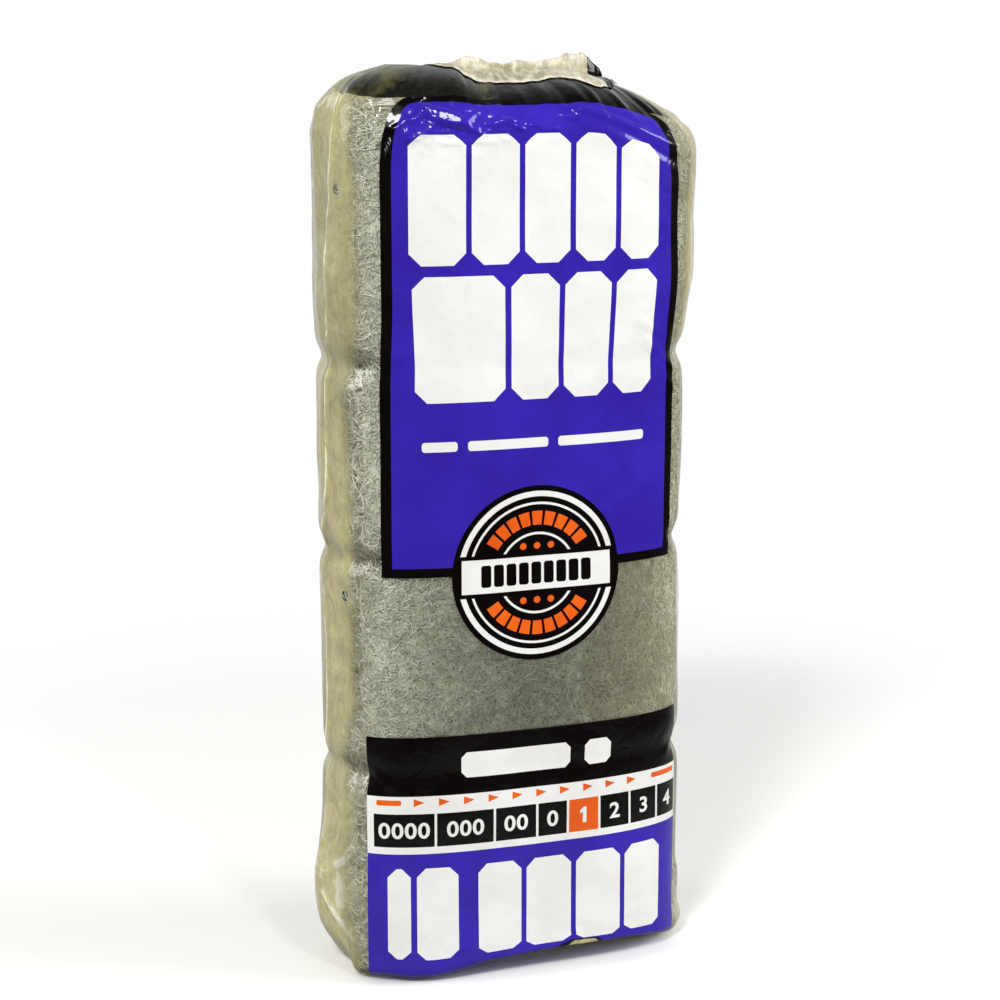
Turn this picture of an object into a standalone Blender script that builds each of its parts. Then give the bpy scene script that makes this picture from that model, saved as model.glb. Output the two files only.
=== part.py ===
"""Steel wool pads in a sealed bag of clear printed film.

Sixteen pads, four rows high and four layers deep, fill a side-gusseted film bag that stands on
its flat bottom. Each pad is a strip of steel wool folded round itself into a flat roll, with
its turns running across the bag. The bag is one closed film wall with a hollow, which the
punched vent holes in its gussets open to the air. The film bulges over the layers, draws in
between the rows and closes over the top in a gathered end seal.

Lengths are in metres. +Z is up, the printed front faces -Y, and the origin is the middle of
the bottom.
"""
import math

import bmesh
import bpy
import numpy as np

# Pads
PAD_WIDTH = 0.102
PAD_HEIGHT = 0.0624
PAD_THICKNESS = 0.0136
ROWS = 4
LAYERS = 4
TOP_ROW_SLUMP = 0.008
PAD_CLEARANCE = 0.00035
TURN_SLOT = 0.00035
TOP_TURN_HEIGHT = 0.009
LOWER_TURN_HEIGHT = 0.006
TONGUE_SHORTFALL = 0.008
FREE_EDGE_ROUNDING = 0.0015

# Film wall and body of the bag
FILM_THICKNESS = 0.0003
FILM_CLEARANCE = 0.00035
SECTION_POWER = 3.0
FOOT_RADIUS = 0.003
FOOT_TUCK = 0.006
FOOT_TUCK_HEIGHT = 0.015
FOOT_TUCK_FRONT = 0.018
FOOT_TUCK_SPREAD = 0.014
TOP_WIDENING = 0.0022
TOP_WIDENING_HEIGHT = 0.025
ROW_PINCH_DEPTH = 0.0018
ROW_PINCH_WIDTH = 0.0036
CREASE_HEIGHT = 0.0009
CREASE_SPREAD = 0.0034

# Closed top of the bag
SHOULDER_DROP = 0.0075
SHOULDER_RISE = 0.017
RIGHT_SHOULDER_DROP = 0.007
RIGHT_DROP_START = 0.012
RIGHT_DROP_HEIGHT = 0.03
RIDGE_HALF_WIDTH = 0.036
GUSSET_TUCK = 0.006
GUSSET_TUCK_SPREAD = 0.009
SEAL_HEIGHT = 0.0055
SEAL_THICKNESS = 0.0016
SEAL_TAPER = 0.004
SEAL_LEAN = 0.0025
SEAL_WAVE = 0.0014
SEAL_WAVE_LENGTH = 0.022

# Vent holes through the gussets
VENT_DIAMETER = 0.003
VENT_FROM_CREASE = 0.013
VENT_LOWEST = 0.115
VENT_SPACING = 0.115
VENT_SIDES = 12

# Print on the front: levels above the bottom, and margins inwards from the bag's sides
PRINT_MARGIN = 0.0055
PANEL_MARGIN = 0.0035
BAR_MARGIN = 0.0045
FIELD_TOP = 0.0395
SCALE_LINE_TOP = 0.0415
SCALE_TOP = 0.0518
BAND_BOTTOM = 0.0571
BAND_TOP = 0.0746
PANEL_BOTTOM = 0.1215
PANEL_BORDER = 0.0025
LOWER_BAR_BOTTOM = 0.1705
BAR_HEIGHT = 0.036
BAR_PITCH = 0.0385

# Columns of points across the bars and up the sides, as shares of the half width and depth
BAR_SHARES = (0, 0.33, 0.63)
SIDE_SHARES = (0, 0.1, 0.25, 0.5)

# Sizes that follow from the pads, and the share of the section that the inner layers reach
STACK_HALF_DEPTH = (LAYERS * PAD_THICKNESS + (LAYERS - 1) * PAD_CLEARANCE) / 2
WALL_OFFSET = FILM_THICKNESS + FILM_CLEARANCE
INNER_REACH = (1 - SIDE_SHARES[-1] ** SECTION_POWER) ** (1 / SECTION_POWER)
HALF_WIDTH = PAD_WIDTH / 2 / INNER_REACH + WALL_OFFSET
HALF_DEPTH = STACK_HALF_DEPTH + WALL_OFFSET
PRINT_HALF_WIDTH = HALF_WIDTH - PRINT_MARGIN
PANEL_HALF_WIDTH = PRINT_HALF_WIDTH - PANEL_MARGIN
BAR_HALF_WIDTH = PANEL_HALF_WIDTH - PANEL_BORDER - BAR_MARGIN
ROW_HEIGHTS = [PAD_HEIGHT] * (ROWS - 2) + [PAD_HEIGHT - TOP_ROW_SLUMP, PAD_HEIGHT + TOP_ROW_SLUMP]
ROW_FEET = [WALL_OFFSET + sum(ROW_HEIGHTS[:row]) + row * PAD_CLEARANCE for row in range(ROWS)]
PADS_TOP = ROW_FEET[-1] + ROW_HEIGHTS[-1]
SHOULDER_LEVEL = PADS_TOP - SHOULDER_DROP
SHOULDER_ANGLES = [math.radians(angle) for angle in (18, 36, 54, 72, 90)]
PANEL_TOP = SHOULDER_LEVEL + SHOULDER_RISE * math.sin(SHOULDER_ANGLES[1])
SHARP_ANGLE = math.radians(40)

COLOURS = {
    "clear_film": (0.78, 0.77, 0.68, 0.25),
    "blue_print": (0.045, 0.020, 0.456, 1.0),
    "black_print": (0.006, 0.005, 0.007, 1.0),
    "white_print": (0.86, 0.86, 0.84, 1.0),
    "steel_wool": (0.27, 0.29, 0.25, 1.0),
}


def make_material(name, roughness, metallic=0.0):
    """Principled material in one of the object's colours."""
    colour = COLOURS[name]
    material = bpy.data.materials.new(name)
    material.use_nodes = True
    material.diffuse_color = colour
    shader = material.node_tree.nodes["Principled BSDF"]
    shader.inputs["Base Color"].default_value = (*colour[:3], 1.0)
    shader.inputs["Alpha"].default_value = colour[3]
    shader.inputs["Roughness"].default_value = roughness
    shader.inputs["Metallic"].default_value = metallic
    return material


def make_object(name, vertices, faces, materials):
    """Object from a list of points and faces, shaded smooth up to its sharp edges."""
    mesh = bpy.data.meshes.new(name)
    mesh.from_pydata([tuple(point) for point in vertices], [], faces)
    for material in materials:
        mesh.materials.append(material)
    mesh.shade_smooth()
    mesh.set_sharp_from_angle(angle=SHARP_ANGLE)
    result = bpy.data.objects.new(name, mesh)
    bpy.context.collection.objects.link(result)
    return result


def smooth_step(share):
    """Smooth climb from 0 to 1 as share goes from 0 to 1."""
    share = min(max(share, 0), 1)
    return share * share * (3 - 2 * share)


def row_boundaries():
    """Levels between one row of pads and the next, where the film draws in."""
    return [foot - PAD_CLEARANCE / 2 for foot in ROW_FEET[1:]]


def body_levels():
    """Levels of the film's rings between the foot and the shoulder."""
    levels = [FIELD_TOP, SCALE_LINE_TOP, SCALE_TOP, BAND_BOTTOM, BAND_TOP, PANEL_BOTTOM,
              PANEL_BOTTOM + PANEL_BORDER, LOWER_BAR_BOTTOM, LOWER_BAR_BOTTOM + BAR_HEIGHT,
              LOWER_BAR_BOTTOM + BAR_PITCH, FOOT_TUCK_HEIGHT * 0.6, FOOT_TUCK_HEIGHT]
    for boundary in row_boundaries():
        levels += [boundary - ROW_PINCH_WIDTH, boundary, boundary + ROW_PINCH_WIDTH]
    inside = sorted(z for z in levels if FOOT_RADIUS < z < SHOULDER_LEVEL)
    kept = [FOOT_RADIUS]
    for level in inside:
        if level - kept[-1] > ROW_PINCH_WIDTH / 3 and SHOULDER_LEVEL - level > ROW_PINCH_WIDTH / 3:
            kept.append(level)
    return kept + [SHOULDER_LEVEL]


def top_row_share(level):
    """0 below the top row of pads and 1 within it, in a smooth step."""
    return smooth_step((level - row_boundaries()[-1]) / TOP_WIDENING_HEIGHT)


def rings(inset):
    """Rings of the film at a distance inside its outer face, as (level, half width, half depth).

    The foot is a quarter circle, the body draws in by a bell curve at each row boundary and
    is wider round the top row, and the shoulder is a quarter ellipse that ends at the ridge
    under the seal.
    """
    foot = FOOT_RADIUS - inset
    result = []
    for angle in (0, math.radians(45)):
        shrink = FOOT_RADIUS - foot * math.sin(angle)
        result.append((FOOT_RADIUS - foot * math.cos(angle), HALF_WIDTH - shrink, HALF_DEPTH - shrink))
    for level in body_levels():
        pinch = sum(math.exp(-((level - boundary) / ROW_PINCH_WIDTH) ** 2) for boundary in row_boundaries())
        shrink = inset + ROW_PINCH_DEPTH * pinch
        half_width = HALF_WIDTH - shrink + TOP_WIDENING * top_row_share(level)
        result.append((level, half_width, HALF_DEPTH - shrink))
    for angle in SHOULDER_ANGLES:
        closing = math.cos(angle)
        result.append((
            SHOULDER_LEVEL + (SHOULDER_RISE - inset) * math.sin(angle),
            RIDGE_HALF_WIDTH - inset + (HALF_WIDTH + TOP_WIDENING - RIDGE_HALF_WIDTH) * closing,
            SEAL_THICKNESS / 2 - inset + (HALF_DEPTH - SEAL_THICKNESS / 2) * closing,
        ))
    return result


def section_columns():
    """Points round the unit section, from +X through +Y, with the print's edges on the front.

    The section is the curve |x|^p + |y|^p = 1, a rectangle with full sides and round corners.
    """
    def beside(share):
        return (1 - share ** SECTION_POWER) ** (1 / SECTION_POWER)

    across = [share * BAR_HALF_WIDTH for share in BAR_SHARES]
    across += [BAR_HALF_WIDTH, PANEL_HALF_WIDTH - PANEL_BORDER, PANEL_HALF_WIDTH, PRINT_HALF_WIDTH]
    side = [(beside(share), share) for share in SIDE_SHARES]
    front = [(x / HALF_WIDTH, beside(x / HALF_WIDTH)) for x in reversed(across)]
    quarter = side + front
    mirrored = [(-x, y) for x, y in reversed(quarter[:-1])]
    half = quarter + mirrored
    return half + [(x, -y) for x, y in reversed(half[1:-1])]


def gusset_shift(level, y):
    """How far the gusset's middle stands out of the section: a crease up the side, a tuck at
    the top, and a tuck at the foot that leaves the front panel's edge straight."""
    crease = CREASE_HEIGHT * math.exp(-(y / CREASE_SPREAD) ** 2)
    climb = min(max((level - PADS_TOP) / (SHOULDER_LEVEL + SHOULDER_RISE - PADS_TOP), 0), 1)
    top_tuck = GUSSET_TUCK * climb * math.exp(-(y / GUSSET_TUCK_SPREAD) ** 2)
    foot_tuck = FOOT_TUCK * max(1 - level / FOOT_TUCK_HEIGHT, 0) ** 1.5
    foot_tuck *= smooth_step((y + FOOT_TUCK_FRONT) / FOOT_TUCK_SPREAD)
    return crease * (1 - climb) - top_tuck - foot_tuck


def settled(share, half_width, y, level):
    """Point at a share of the half width, with the gussets' folds and the sunken right shoulder."""
    x = half_width * share + math.copysign(1, share) * gusset_shift(level, y) * share ** 6
    sink = smooth_step((x - RIGHT_DROP_START) / (HALF_WIDTH - RIGHT_DROP_START))
    sink *= smooth_step(1 - (SHOULDER_LEVEL - level) / RIGHT_DROP_HEIGHT)
    return x, y, level - RIGHT_SHOULDER_DROP * sink


def skin(inset, with_seal):
    """One face of the film: rows of points over the rings, and over the seal on the outside."""
    columns = section_columns()
    rows = []
    for level, half_width, half_depth in rings(inset):
        rows.append([settled(cx, half_width, half_depth * cy, level) for cx, cy in columns])
    if with_seal:
        base = SHOULDER_LEVEL + SHOULDER_RISE
        for share in (0.5, 1.0):
            half_width = RIDGE_HALF_WIDTH - SEAL_TAPER * share
            row = []
            for cx, cy in columns:
                x, y, level = settled(cx, half_width, SEAL_THICKNESS / 2 * cy, base)
                wave = SEAL_LEAN + SEAL_WAVE * math.sin(2 * math.pi * x / SEAL_WAVE_LENGTH)
                row.append((x, y + share * wave, level + SEAL_HEIGHT * share))
            rows.append(row)
    return rows


def print_slot(x, y, z):
    """Material slot of the film at a point on its outer face: 0 clear, 1 blue, 2 black, 3 white."""
    if y > -HALF_DEPTH / 2 and z < SHOULDER_LEVEL or abs(x) > PRINT_HALF_WIDTH:
        return 0
    if z < FIELD_TOP:
        return 1
    if z < BAND_TOP:
        line = z < SCALE_LINE_TOP or SCALE_TOP < z < BAND_BOTTOM
        return 3 if line else 2
    if z < PANEL_BOTTOM:
        return 0
    if z > PANEL_TOP:
        return 2 if z < SHOULDER_LEVEL + SHOULDER_RISE else 0
    if abs(x) > PANEL_HALF_WIDTH:
        return 0
    if abs(x) > PANEL_HALF_WIDTH - PANEL_BORDER or z < PANEL_BOTTOM + PANEL_BORDER:
        return 2
    for bottom in (LOWER_BAR_BOTTOM, LOWER_BAR_BOTTOM + BAR_PITCH):
        if abs(x) < BAR_HALF_WIDTH and bottom < z < bottom + BAR_HEIGHT:
            return 3
    return 1


def close_skin(rows, first, outward):
    """Faces of one skin: quads between its rings, and strips from front to back over both ends."""
    count = len(rows[0])
    faces = []
    for ring in range(len(rows) - 1):
        for i in range(count):
            lower, upper = first + ring * count, first + (ring + 1) * count
            j = (i + 1) % count
            faces.append((lower + i, lower + j, upper + j, upper + i))
    for ring, upward in ((0, False), (len(rows) - 1, True)):
        start = first + ring * count
        for i in range(count // 2):
            corners = [start + i, start + i + 1, start + (count - i - 1), start + (count - i) % count]
            corners = [corner for k, corner in enumerate(corners) if corner not in corners[:k]]
            faces.append(tuple(corners if upward else reversed(corners)))
    return faces if outward else [tuple(reversed(face)) for face in faces]


def vent_cutter():
    """Rods across the bag, one for each pair of vents, that punch both gussets."""
    mesh = bmesh.new()
    length = 2 * (HALF_WIDTH + TOP_WIDENING + CREASE_HEIGHT + VENT_DIAMETER)
    for level in (VENT_LOWEST, VENT_LOWEST + VENT_SPACING):
        for side in (-1, 1):
            rod = bmesh.ops.create_cone(mesh, cap_ends=True, segments=VENT_SIDES, depth=length,
                                        radius1=VENT_DIAMETER / 2, radius2=VENT_DIAMETER / 2)
            for vertex in rod["verts"]:
                x, y, z = vertex.co
                vertex.co = (z, y + side * VENT_FROM_CREASE, level - x)
    bmesh.ops.recalc_face_normals(mesh, faces=mesh.faces)
    data = bpy.data.meshes.new("vent_cutter")
    mesh.to_mesh(data)
    mesh.free()
    cutter = bpy.data.objects.new("vent_cutter", data)
    bpy.context.collection.objects.link(cutter)
    cutter.hide_render = True
    cutter.display_type = "WIRE"
    return cutter


def film_bag():
    """The film bag: an outer and an inner skin, with the vent holes cut through both."""
    outer, inner = skin(0, True), skin(FILM_THICKNESS, False)
    points = [point for row in outer + inner for point in row]
    outer_faces = close_skin(outer, 0, True)
    inner_faces = close_skin(inner, len(outer) * len(outer[0]), False)
    materials = [make_material("clear_film", 0.15), make_material("blue_print", 0.25),
                 make_material("black_print", 0.25), make_material("white_print", 0.3)]
    bag = make_object("film_bag", points, outer_faces + inner_faces, materials)
    for polygon in bag.data.polygons[:len(outer_faces)]:
        x, y, z = polygon.center
        polygon.material_index = print_slot(x, y, z)
    cut = bag.modifiers.new("vents", "BOOLEAN")
    cut.operation = "DIFFERENCE"
    cut.object = vent_cutter()
    return bag


def arc(centre_y, centre_z, half_y, half_z, start, end, steps):
    """Points on an ellipse between two angles, both ends included."""
    angles = [math.radians(start + (end - start) * k / steps) for k in range(steps + 1)]
    return [(centre_y + half_y * math.cos(a), centre_z + half_z * math.sin(a)) for a in angles]


def roll_outline(pad_height):
    """Section of one pad: a strip that runs up the back, over the top, down the front, and
    turns back up inside itself. Points are (depth, height) from the pad's middle."""
    strip = (PAD_THICKNESS - 2 * TURN_SLOT) / 3
    edges = [-PAD_THICKNESS / 2]
    for step in (strip, TURN_SLOT, strip, TURN_SLOT, strip):
        edges.append(edges[-1] + step)
    front, front_in, tongue_front, tongue_back, back_in, back = edges
    top, bottom = pad_height / 2, -pad_height / 2
    turn_foot, turn_head = bottom + LOWER_TURN_HEIGHT, top - TOP_TURN_HEIGHT
    over = arc(0, turn_head, back, TOP_TURN_HEIGHT, 0, 180, 6)
    under = arc((front + tongue_back) / 2, turn_foot, (tongue_back - front) / 2, LOWER_TURN_HEIGHT,
                180, 360, 5)
    tongue_top = top - strip - TONGUE_SHORTFALL
    tongue = [(tongue_back, tongue_top), (tongue_front, tongue_top)]
    slot_foot = [(tongue_front, turn_foot), (front_in, turn_foot)]
    inside = [(front_in, turn_head), (0, top - strip), (back_in, turn_head)]
    free_foot = bottom + FREE_EDGE_ROUNDING
    free_edge = [(back_in, turn_foot), (back_in, free_foot), ((back_in + back) / 2, bottom),
                 (back, free_foot), (back, turn_foot)]
    return over + under + tongue + slot_foot + inside + free_edge


def pad(row, layer, material):
    """One pad, its roll run across the bag and pressed to the shape that the film gives it."""
    levels, half_widths, half_depths = (np.array(values) for values in zip(*rings(WALL_OFFSET)))
    outermost = layer in (0, LAYERS - 1)
    reach = PRINT_HALF_WIDTH / HALF_WIDTH if outermost else INNER_REACH
    steps = [BAR_SHARES[-1] * BAR_HALF_WIDTH / HALF_WIDTH, BAR_HALF_WIDTH / HALF_WIDTH, reach]
    stations = [-step for step in reversed(steps)] + [0] + steps
    middle_y = (layer - (LAYERS - 1) / 2) * (PAD_THICKNESS + PAD_CLEARANCE)
    middle_z = ROW_FEET[row] + ROW_HEIGHTS[row] / 2
    outline = roll_outline(ROW_HEIGHTS[row])
    points = []
    for station in stations:
        narrowing = (1 - abs(station) ** SECTION_POWER) ** (1 / SECTION_POWER)
        for depth, height in outline:
            level = middle_z + height
            share = (middle_y + depth) / STACK_HALF_DEPTH
            half_width = np.interp(level, levels, half_widths)
            half_depth = np.interp(level, levels, half_depths)
            y = half_depth * share * narrowing ** (abs(share) ** 1.5)
            points.append(settled(station, half_width, y, level))
    count = len(outline)
    faces = []
    for step in range(len(stations) - 1):
        for i in range(count):
            j = (i + 1) % count
            near, far = step * count, (step + 1) * count
            faces.append((near + i, near + j, far + j, far + i))
    faces.append(tuple(reversed(range(count))))
    faces.append(tuple(range((len(stations) - 1) * count, len(stations) * count)))
    return make_object(f"pad_row{row + 1}_layer{layer + 1}", points, faces, [material])


def main():
    """Builds the bag and its pads."""
    for old in list(bpy.data.objects):
        bpy.data.objects.remove(old, do_unlink=True)
    film_bag()
    wool = make_material("steel_wool", 0.6, 0.6)
    for row in range(ROWS):
        for layer in range(LAYERS):
            pad(row, layer, wool)


if __name__ == "__main__":
    main()
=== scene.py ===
"""Looks of a clear printed bag that holds sixteen steel wool pads.

The film is one surface, worked out from a point's way round the bag (s) and its way up the
film (t), both in millimetres, s from the middle of the printed front and t from the bottom.
The print, the curls of wool behind the film and the vent holes are placed in the same s and t,
so they follow every fold. Lengths are millimetres in the functions and metres in the meshes.
"""
import math

import bpy
import numpy as np
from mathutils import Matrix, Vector
from mathutils.geometry import delaunay_2d_cdt


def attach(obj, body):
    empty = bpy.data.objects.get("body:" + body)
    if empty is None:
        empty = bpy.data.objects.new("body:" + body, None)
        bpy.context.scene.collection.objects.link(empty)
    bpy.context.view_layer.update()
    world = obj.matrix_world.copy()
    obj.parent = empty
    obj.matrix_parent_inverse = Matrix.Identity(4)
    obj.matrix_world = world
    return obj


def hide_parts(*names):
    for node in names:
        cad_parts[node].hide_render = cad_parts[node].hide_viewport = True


bl_info = {
    "name": "Steel wool pad pack",
    "version": (1, 0, 0),
    "blender": (4, 5, 0),
    "location": "View3D > Sidebar > Wool pack",
    "description": "A clear printed film bag with pads of steel wool",
    "category": "Object",
}

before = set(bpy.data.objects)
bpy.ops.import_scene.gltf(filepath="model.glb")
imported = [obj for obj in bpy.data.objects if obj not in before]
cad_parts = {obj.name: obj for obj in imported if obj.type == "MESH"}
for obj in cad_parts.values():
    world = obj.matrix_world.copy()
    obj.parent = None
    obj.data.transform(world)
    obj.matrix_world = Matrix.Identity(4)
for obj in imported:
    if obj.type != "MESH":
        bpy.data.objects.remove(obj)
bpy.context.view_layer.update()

# Bag, in millimetres
PAD_WIDTH = 102.0
PAD_THICKNESS = 13.6
PAD_CLEARANCE = 0.35
LAYERS = 4
ROW_HEIGHTS = (62.4, 62.4, 54.4, 70.4)
WALL_OFFSET = 0.65
POWER = 3.0
INNER_REACH = (1 - 0.5 ** POWER) ** (1 / POWER)
STACK_HALF_DEPTH = (LAYERS * PAD_THICKNESS + (LAYERS - 1) * PAD_CLEARANCE) / 2
HALF_WIDTH = PAD_WIDTH / 2 / INNER_REACH + WALL_OFFSET
HALF_DEPTH = STACK_HALF_DEPTH + WALL_OFFSET
ROW_FEET = [WALL_OFFSET + sum(ROW_HEIGHTS[:row]) + row * PAD_CLEARANCE for row in range(4)]
BOUNDARIES = [foot - PAD_CLEARANCE / 2 for foot in ROW_FEET[1:]]
PADS_TOP = ROW_FEET[-1] + ROW_HEIGHTS[-1]
SHOULDER = PADS_TOP - 7.5
RISE = 17.0
RIDGE_HALF_WIDTH = 36.0
SEAL_THICKNESS = 1.6
SEAL_LEFT = -28
SEAL_RIGHT = 37
SEAL_TOP = 266.25
FOOT_RADIUS = 3.0
FLOOR_CLEARANCE = 0.03
ROW_PINCH_DEPTH = 1.8
ROW_PINCH_WIDTH = 3.6
TOP_WIDENING = 2.2
TOP_WIDENING_HEIGHT = 25
CREASE_HEIGHT = 0.9
CREASE_SPREAD = 3.4
GUSSET_TUCK = 6
GUSSET_TUCK_SPREAD = 9
FOOT_TUCK = 6
FOOT_TUCK_HEIGHT = 15
FOOT_TUCK_FRONT = 18
FOOT_TUCK_SPREAD = 14
LEFT_TOP_NARROWING = 1.1
RIGHT_NARROWING = 1.3
RIGHT_DROP = 7
RIGHT_DROP_START = 12
RIGHT_DROP_HEIGHT = 30
# Slots and turns of a rolled pad
SLOT = 0.35
TOP_TURN = 9.0
LOW_TURN = 6.0
TONGUE_SHORTFALL = 8
FREE_EDGE = 1.5
PAD_STATIONS = 56
# Edges of the print, round the bag and up it
PRINT_LEFT = -50.3
PRINT_RIGHT = 50.6
FIELD_TOP = 39.8
SCALE_TOP = 57.2
BAND_TOP = 74.8

# Quarter of the section, from the middle of the front to the gusset's crease
_angles = np.linspace(0, np.pi / 2, 8001)
UNIT_X, UNIT_Y = np.sin(_angles) ** (2 / POWER), np.cos(_angles) ** (2 / POWER)
QUARTER = np.concatenate([[0], np.cumsum(np.hypot(np.diff(UNIT_X * HALF_WIDTH),
                                                  np.diff(UNIT_Y * HALF_DEPTH)))])
CREASE_S = QUARTER[-1]
_climb = np.linspace(0, np.pi / 2, 2001)
SHOULDER_SPAN = np.hypot(np.diff(RISE * np.sin(_climb)),
                         np.diff((HALF_DEPTH - SEAL_THICKNESS / 2) * np.cos(_climb))).sum()
FILM_TOP = SHOULDER + SHOULDER_SPAN

# Vent holes, as (s, t)
VENT_RADIUS = 1.5
VENT_SIDES = 20
VENTS = [(side * (CREASE_S + offset), level) for side in (-1, 1) for offset in (-13, 13)
         for level in (115, 230)]


# Surface of the film


def smooth_step(share):
    """Smooth climb from 0 to 1 as share goes from 0 to 1."""
    share = np.clip(share, 0, 1)
    return share * share * (3 - 2 * share)


def noise(u, v, seed):
    """Smooth noise from -1 to 1: seeded values at whole numbers, blended by a quintic step."""
    lattice = np.random.default_rng(seed).uniform(-1, 1, (97, 97))
    i, j = np.floor(u).astype(int), np.floor(v).astype(int)
    a, b = (w * w * w * (w * (6 * w - 15) + 10) for w in (u - i, v - j))
    low = lattice[i % 97, j % 97] * (1 - a) + lattice[(i + 1) % 97, j % 97] * a
    high = lattice[i % 97, (j + 1) % 97] * (1 - a) + lattice[(i + 1) % 97, (j + 1) % 97] * a
    return low * (1 - b) + high * b


def section(s):
    """Point of the unit section |x|^3 + |y|^3 = 1 at a way s round it, front at -y."""
    way = np.abs(s)
    folded = np.where(way <= CREASE_S, way, 2 * CREASE_S - way)
    across = np.interp(folded, QUARTER, UNIT_X) * np.sign(s)
    depth = np.interp(folded, QUARTER, UNIT_Y) * np.where(way <= CREASE_S, -1, 1)
    return across, depth


def profile(t, hold=1.0):
    """Level, half width and half depth of the film at a way t up it.

    The foot is a quarter circle, the body draws in by a bell curve between the rows of pads and
    widens round the top row, and the shoulder is a quarter ellipse up to the ridge. The share
    hold says how far the film follows the draw between the rows.
    """
    near = sum(np.exp(-((t - level) / ROW_PINCH_WIDTH) ** 2) for level in BOUNDARIES)
    pinch = ROW_PINCH_DEPTH * hold * near
    body_width = HALF_WIDTH - pinch + TOP_WIDENING * smooth_step((t - BOUNDARIES[-1]) / TOP_WIDENING_HEIGHT)
    body_depth = HALF_DEPTH - pinch
    rise = np.clip((t - SHOULDER) / SHOULDER_SPAN, 0, 1) * np.pi / 2
    foot = np.clip(t / FOOT_RADIUS, 0, 1) * np.pi / 2
    tuck = FOOT_RADIUS * (1 - np.sin(foot))
    level = np.where(t > SHOULDER, SHOULDER + RISE * np.sin(rise),
                     np.where(t < FOOT_RADIUS, FOOT_RADIUS * (1 - np.cos(foot)), t))
    width = np.where(t > SHOULDER,
                     RIDGE_HALF_WIDTH + (HALF_WIDTH + TOP_WIDENING - RIDGE_HALF_WIDTH) * np.cos(rise),
                     body_width - tuck)
    depth = np.where(t > SHOULDER,
                     SEAL_THICKNESS / 2 + (HALF_DEPTH - SEAL_THICKNESS / 2) * np.cos(rise),
                     body_depth - tuck)
    return level, width, depth


# Rise of the front's foot over the floor, as x and height
FOOT_RISE = np.array([(-57, 1.0), (-50, 3.2), (-44, 2.8), (-38, 1.4), (-31, 1.3), (-24, 2.7), (-17, 4.5),
                      (-8, 5.3), (3, 6.1), (20, 6.2), (32, 5.6), (43, 4.4), (50, 3.4), (57, 2.0)])


def foot_rise(x, y, level):
    """Height that the curled foot of the front adds to a point: most at the very front and foot."""
    height = np.interp(x, FOOT_RISE[:, 0], FOOT_RISE[:, 1])
    return height * smooth_step((-y - 8) / 18) * np.clip(1 - level / 18, 0, 1) ** 2


def settled(across, width, y, level):
    """Point at a share across the bag, with the gussets' folds, the top row narrower on the left,
    the rows under it narrower on the right, the sunken right shoulder and the curled foot."""
    climb = np.clip((level - PADS_TOP) / (SHOULDER + RISE - PADS_TOP), 0, 1)
    fold = CREASE_HEIGHT * np.exp(-(y / CREASE_SPREAD) ** 2) * (1 - climb)
    fold -= GUSSET_TUCK * climb * np.exp(-(y / GUSSET_TUCK_SPREAD) ** 2)
    foot_tuck = FOOT_TUCK * np.clip(1 - level / FOOT_TUCK_HEIGHT, 0, 1) ** 1.5
    fold -= foot_tuck * smooth_step((y + FOOT_TUCK_FRONT) / FOOT_TUCK_SPREAD)
    top_row = smooth_step((level - BOUNDARIES[-1]) / TOP_WIDENING_HEIGHT)
    fold -= RIGHT_NARROWING * (across > 0) * (1 - top_row)
    x = width * across + np.sign(across) * fold * np.abs(across) ** 6
    x = x + LEFT_TOP_NARROWING * top_row * np.clip(-across, 0, 1)
    sink = smooth_step((x - RIGHT_DROP_START) / (HALF_WIDTH - RIGHT_DROP_START))
    sink = sink * smooth_step(1 - (SHOULDER - level) / RIGHT_DROP_HEIGHT)
    return np.stack(np.broadcast_arrays(x, y, level - RIGHT_DROP * sink + foot_rise(x, y, level)), -1)


def smooth_film(s, t):
    """Film without its wrinkles: the section carried up the profile, taut over the draw between
    the rows on the flat front and back."""
    across, depth = section(s)
    way = np.minimum(np.abs(s), 2 * CREASE_S - np.abs(s))
    level, width, half_depth = profile(t, 0.12 + 0.88 * smooth_step((way - 42) / 14))
    return settled(across, width, half_depth * depth, level)


def film_normals(s, t):
    """Outward direction of the smooth film, from the cross product of two small steps."""
    t = np.clip(t, 0.2, FILM_TOP - 0.3)
    along = smooth_film(s + 0.25, t) - smooth_film(s - 0.25, t)
    up = smooth_film(s, t + 0.2) - smooth_film(s, t - 0.2)
    normal = np.cross(along, up)
    return normal / np.maximum(np.linalg.norm(normal, axis=-1, keepdims=True), 1e-9)


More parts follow.
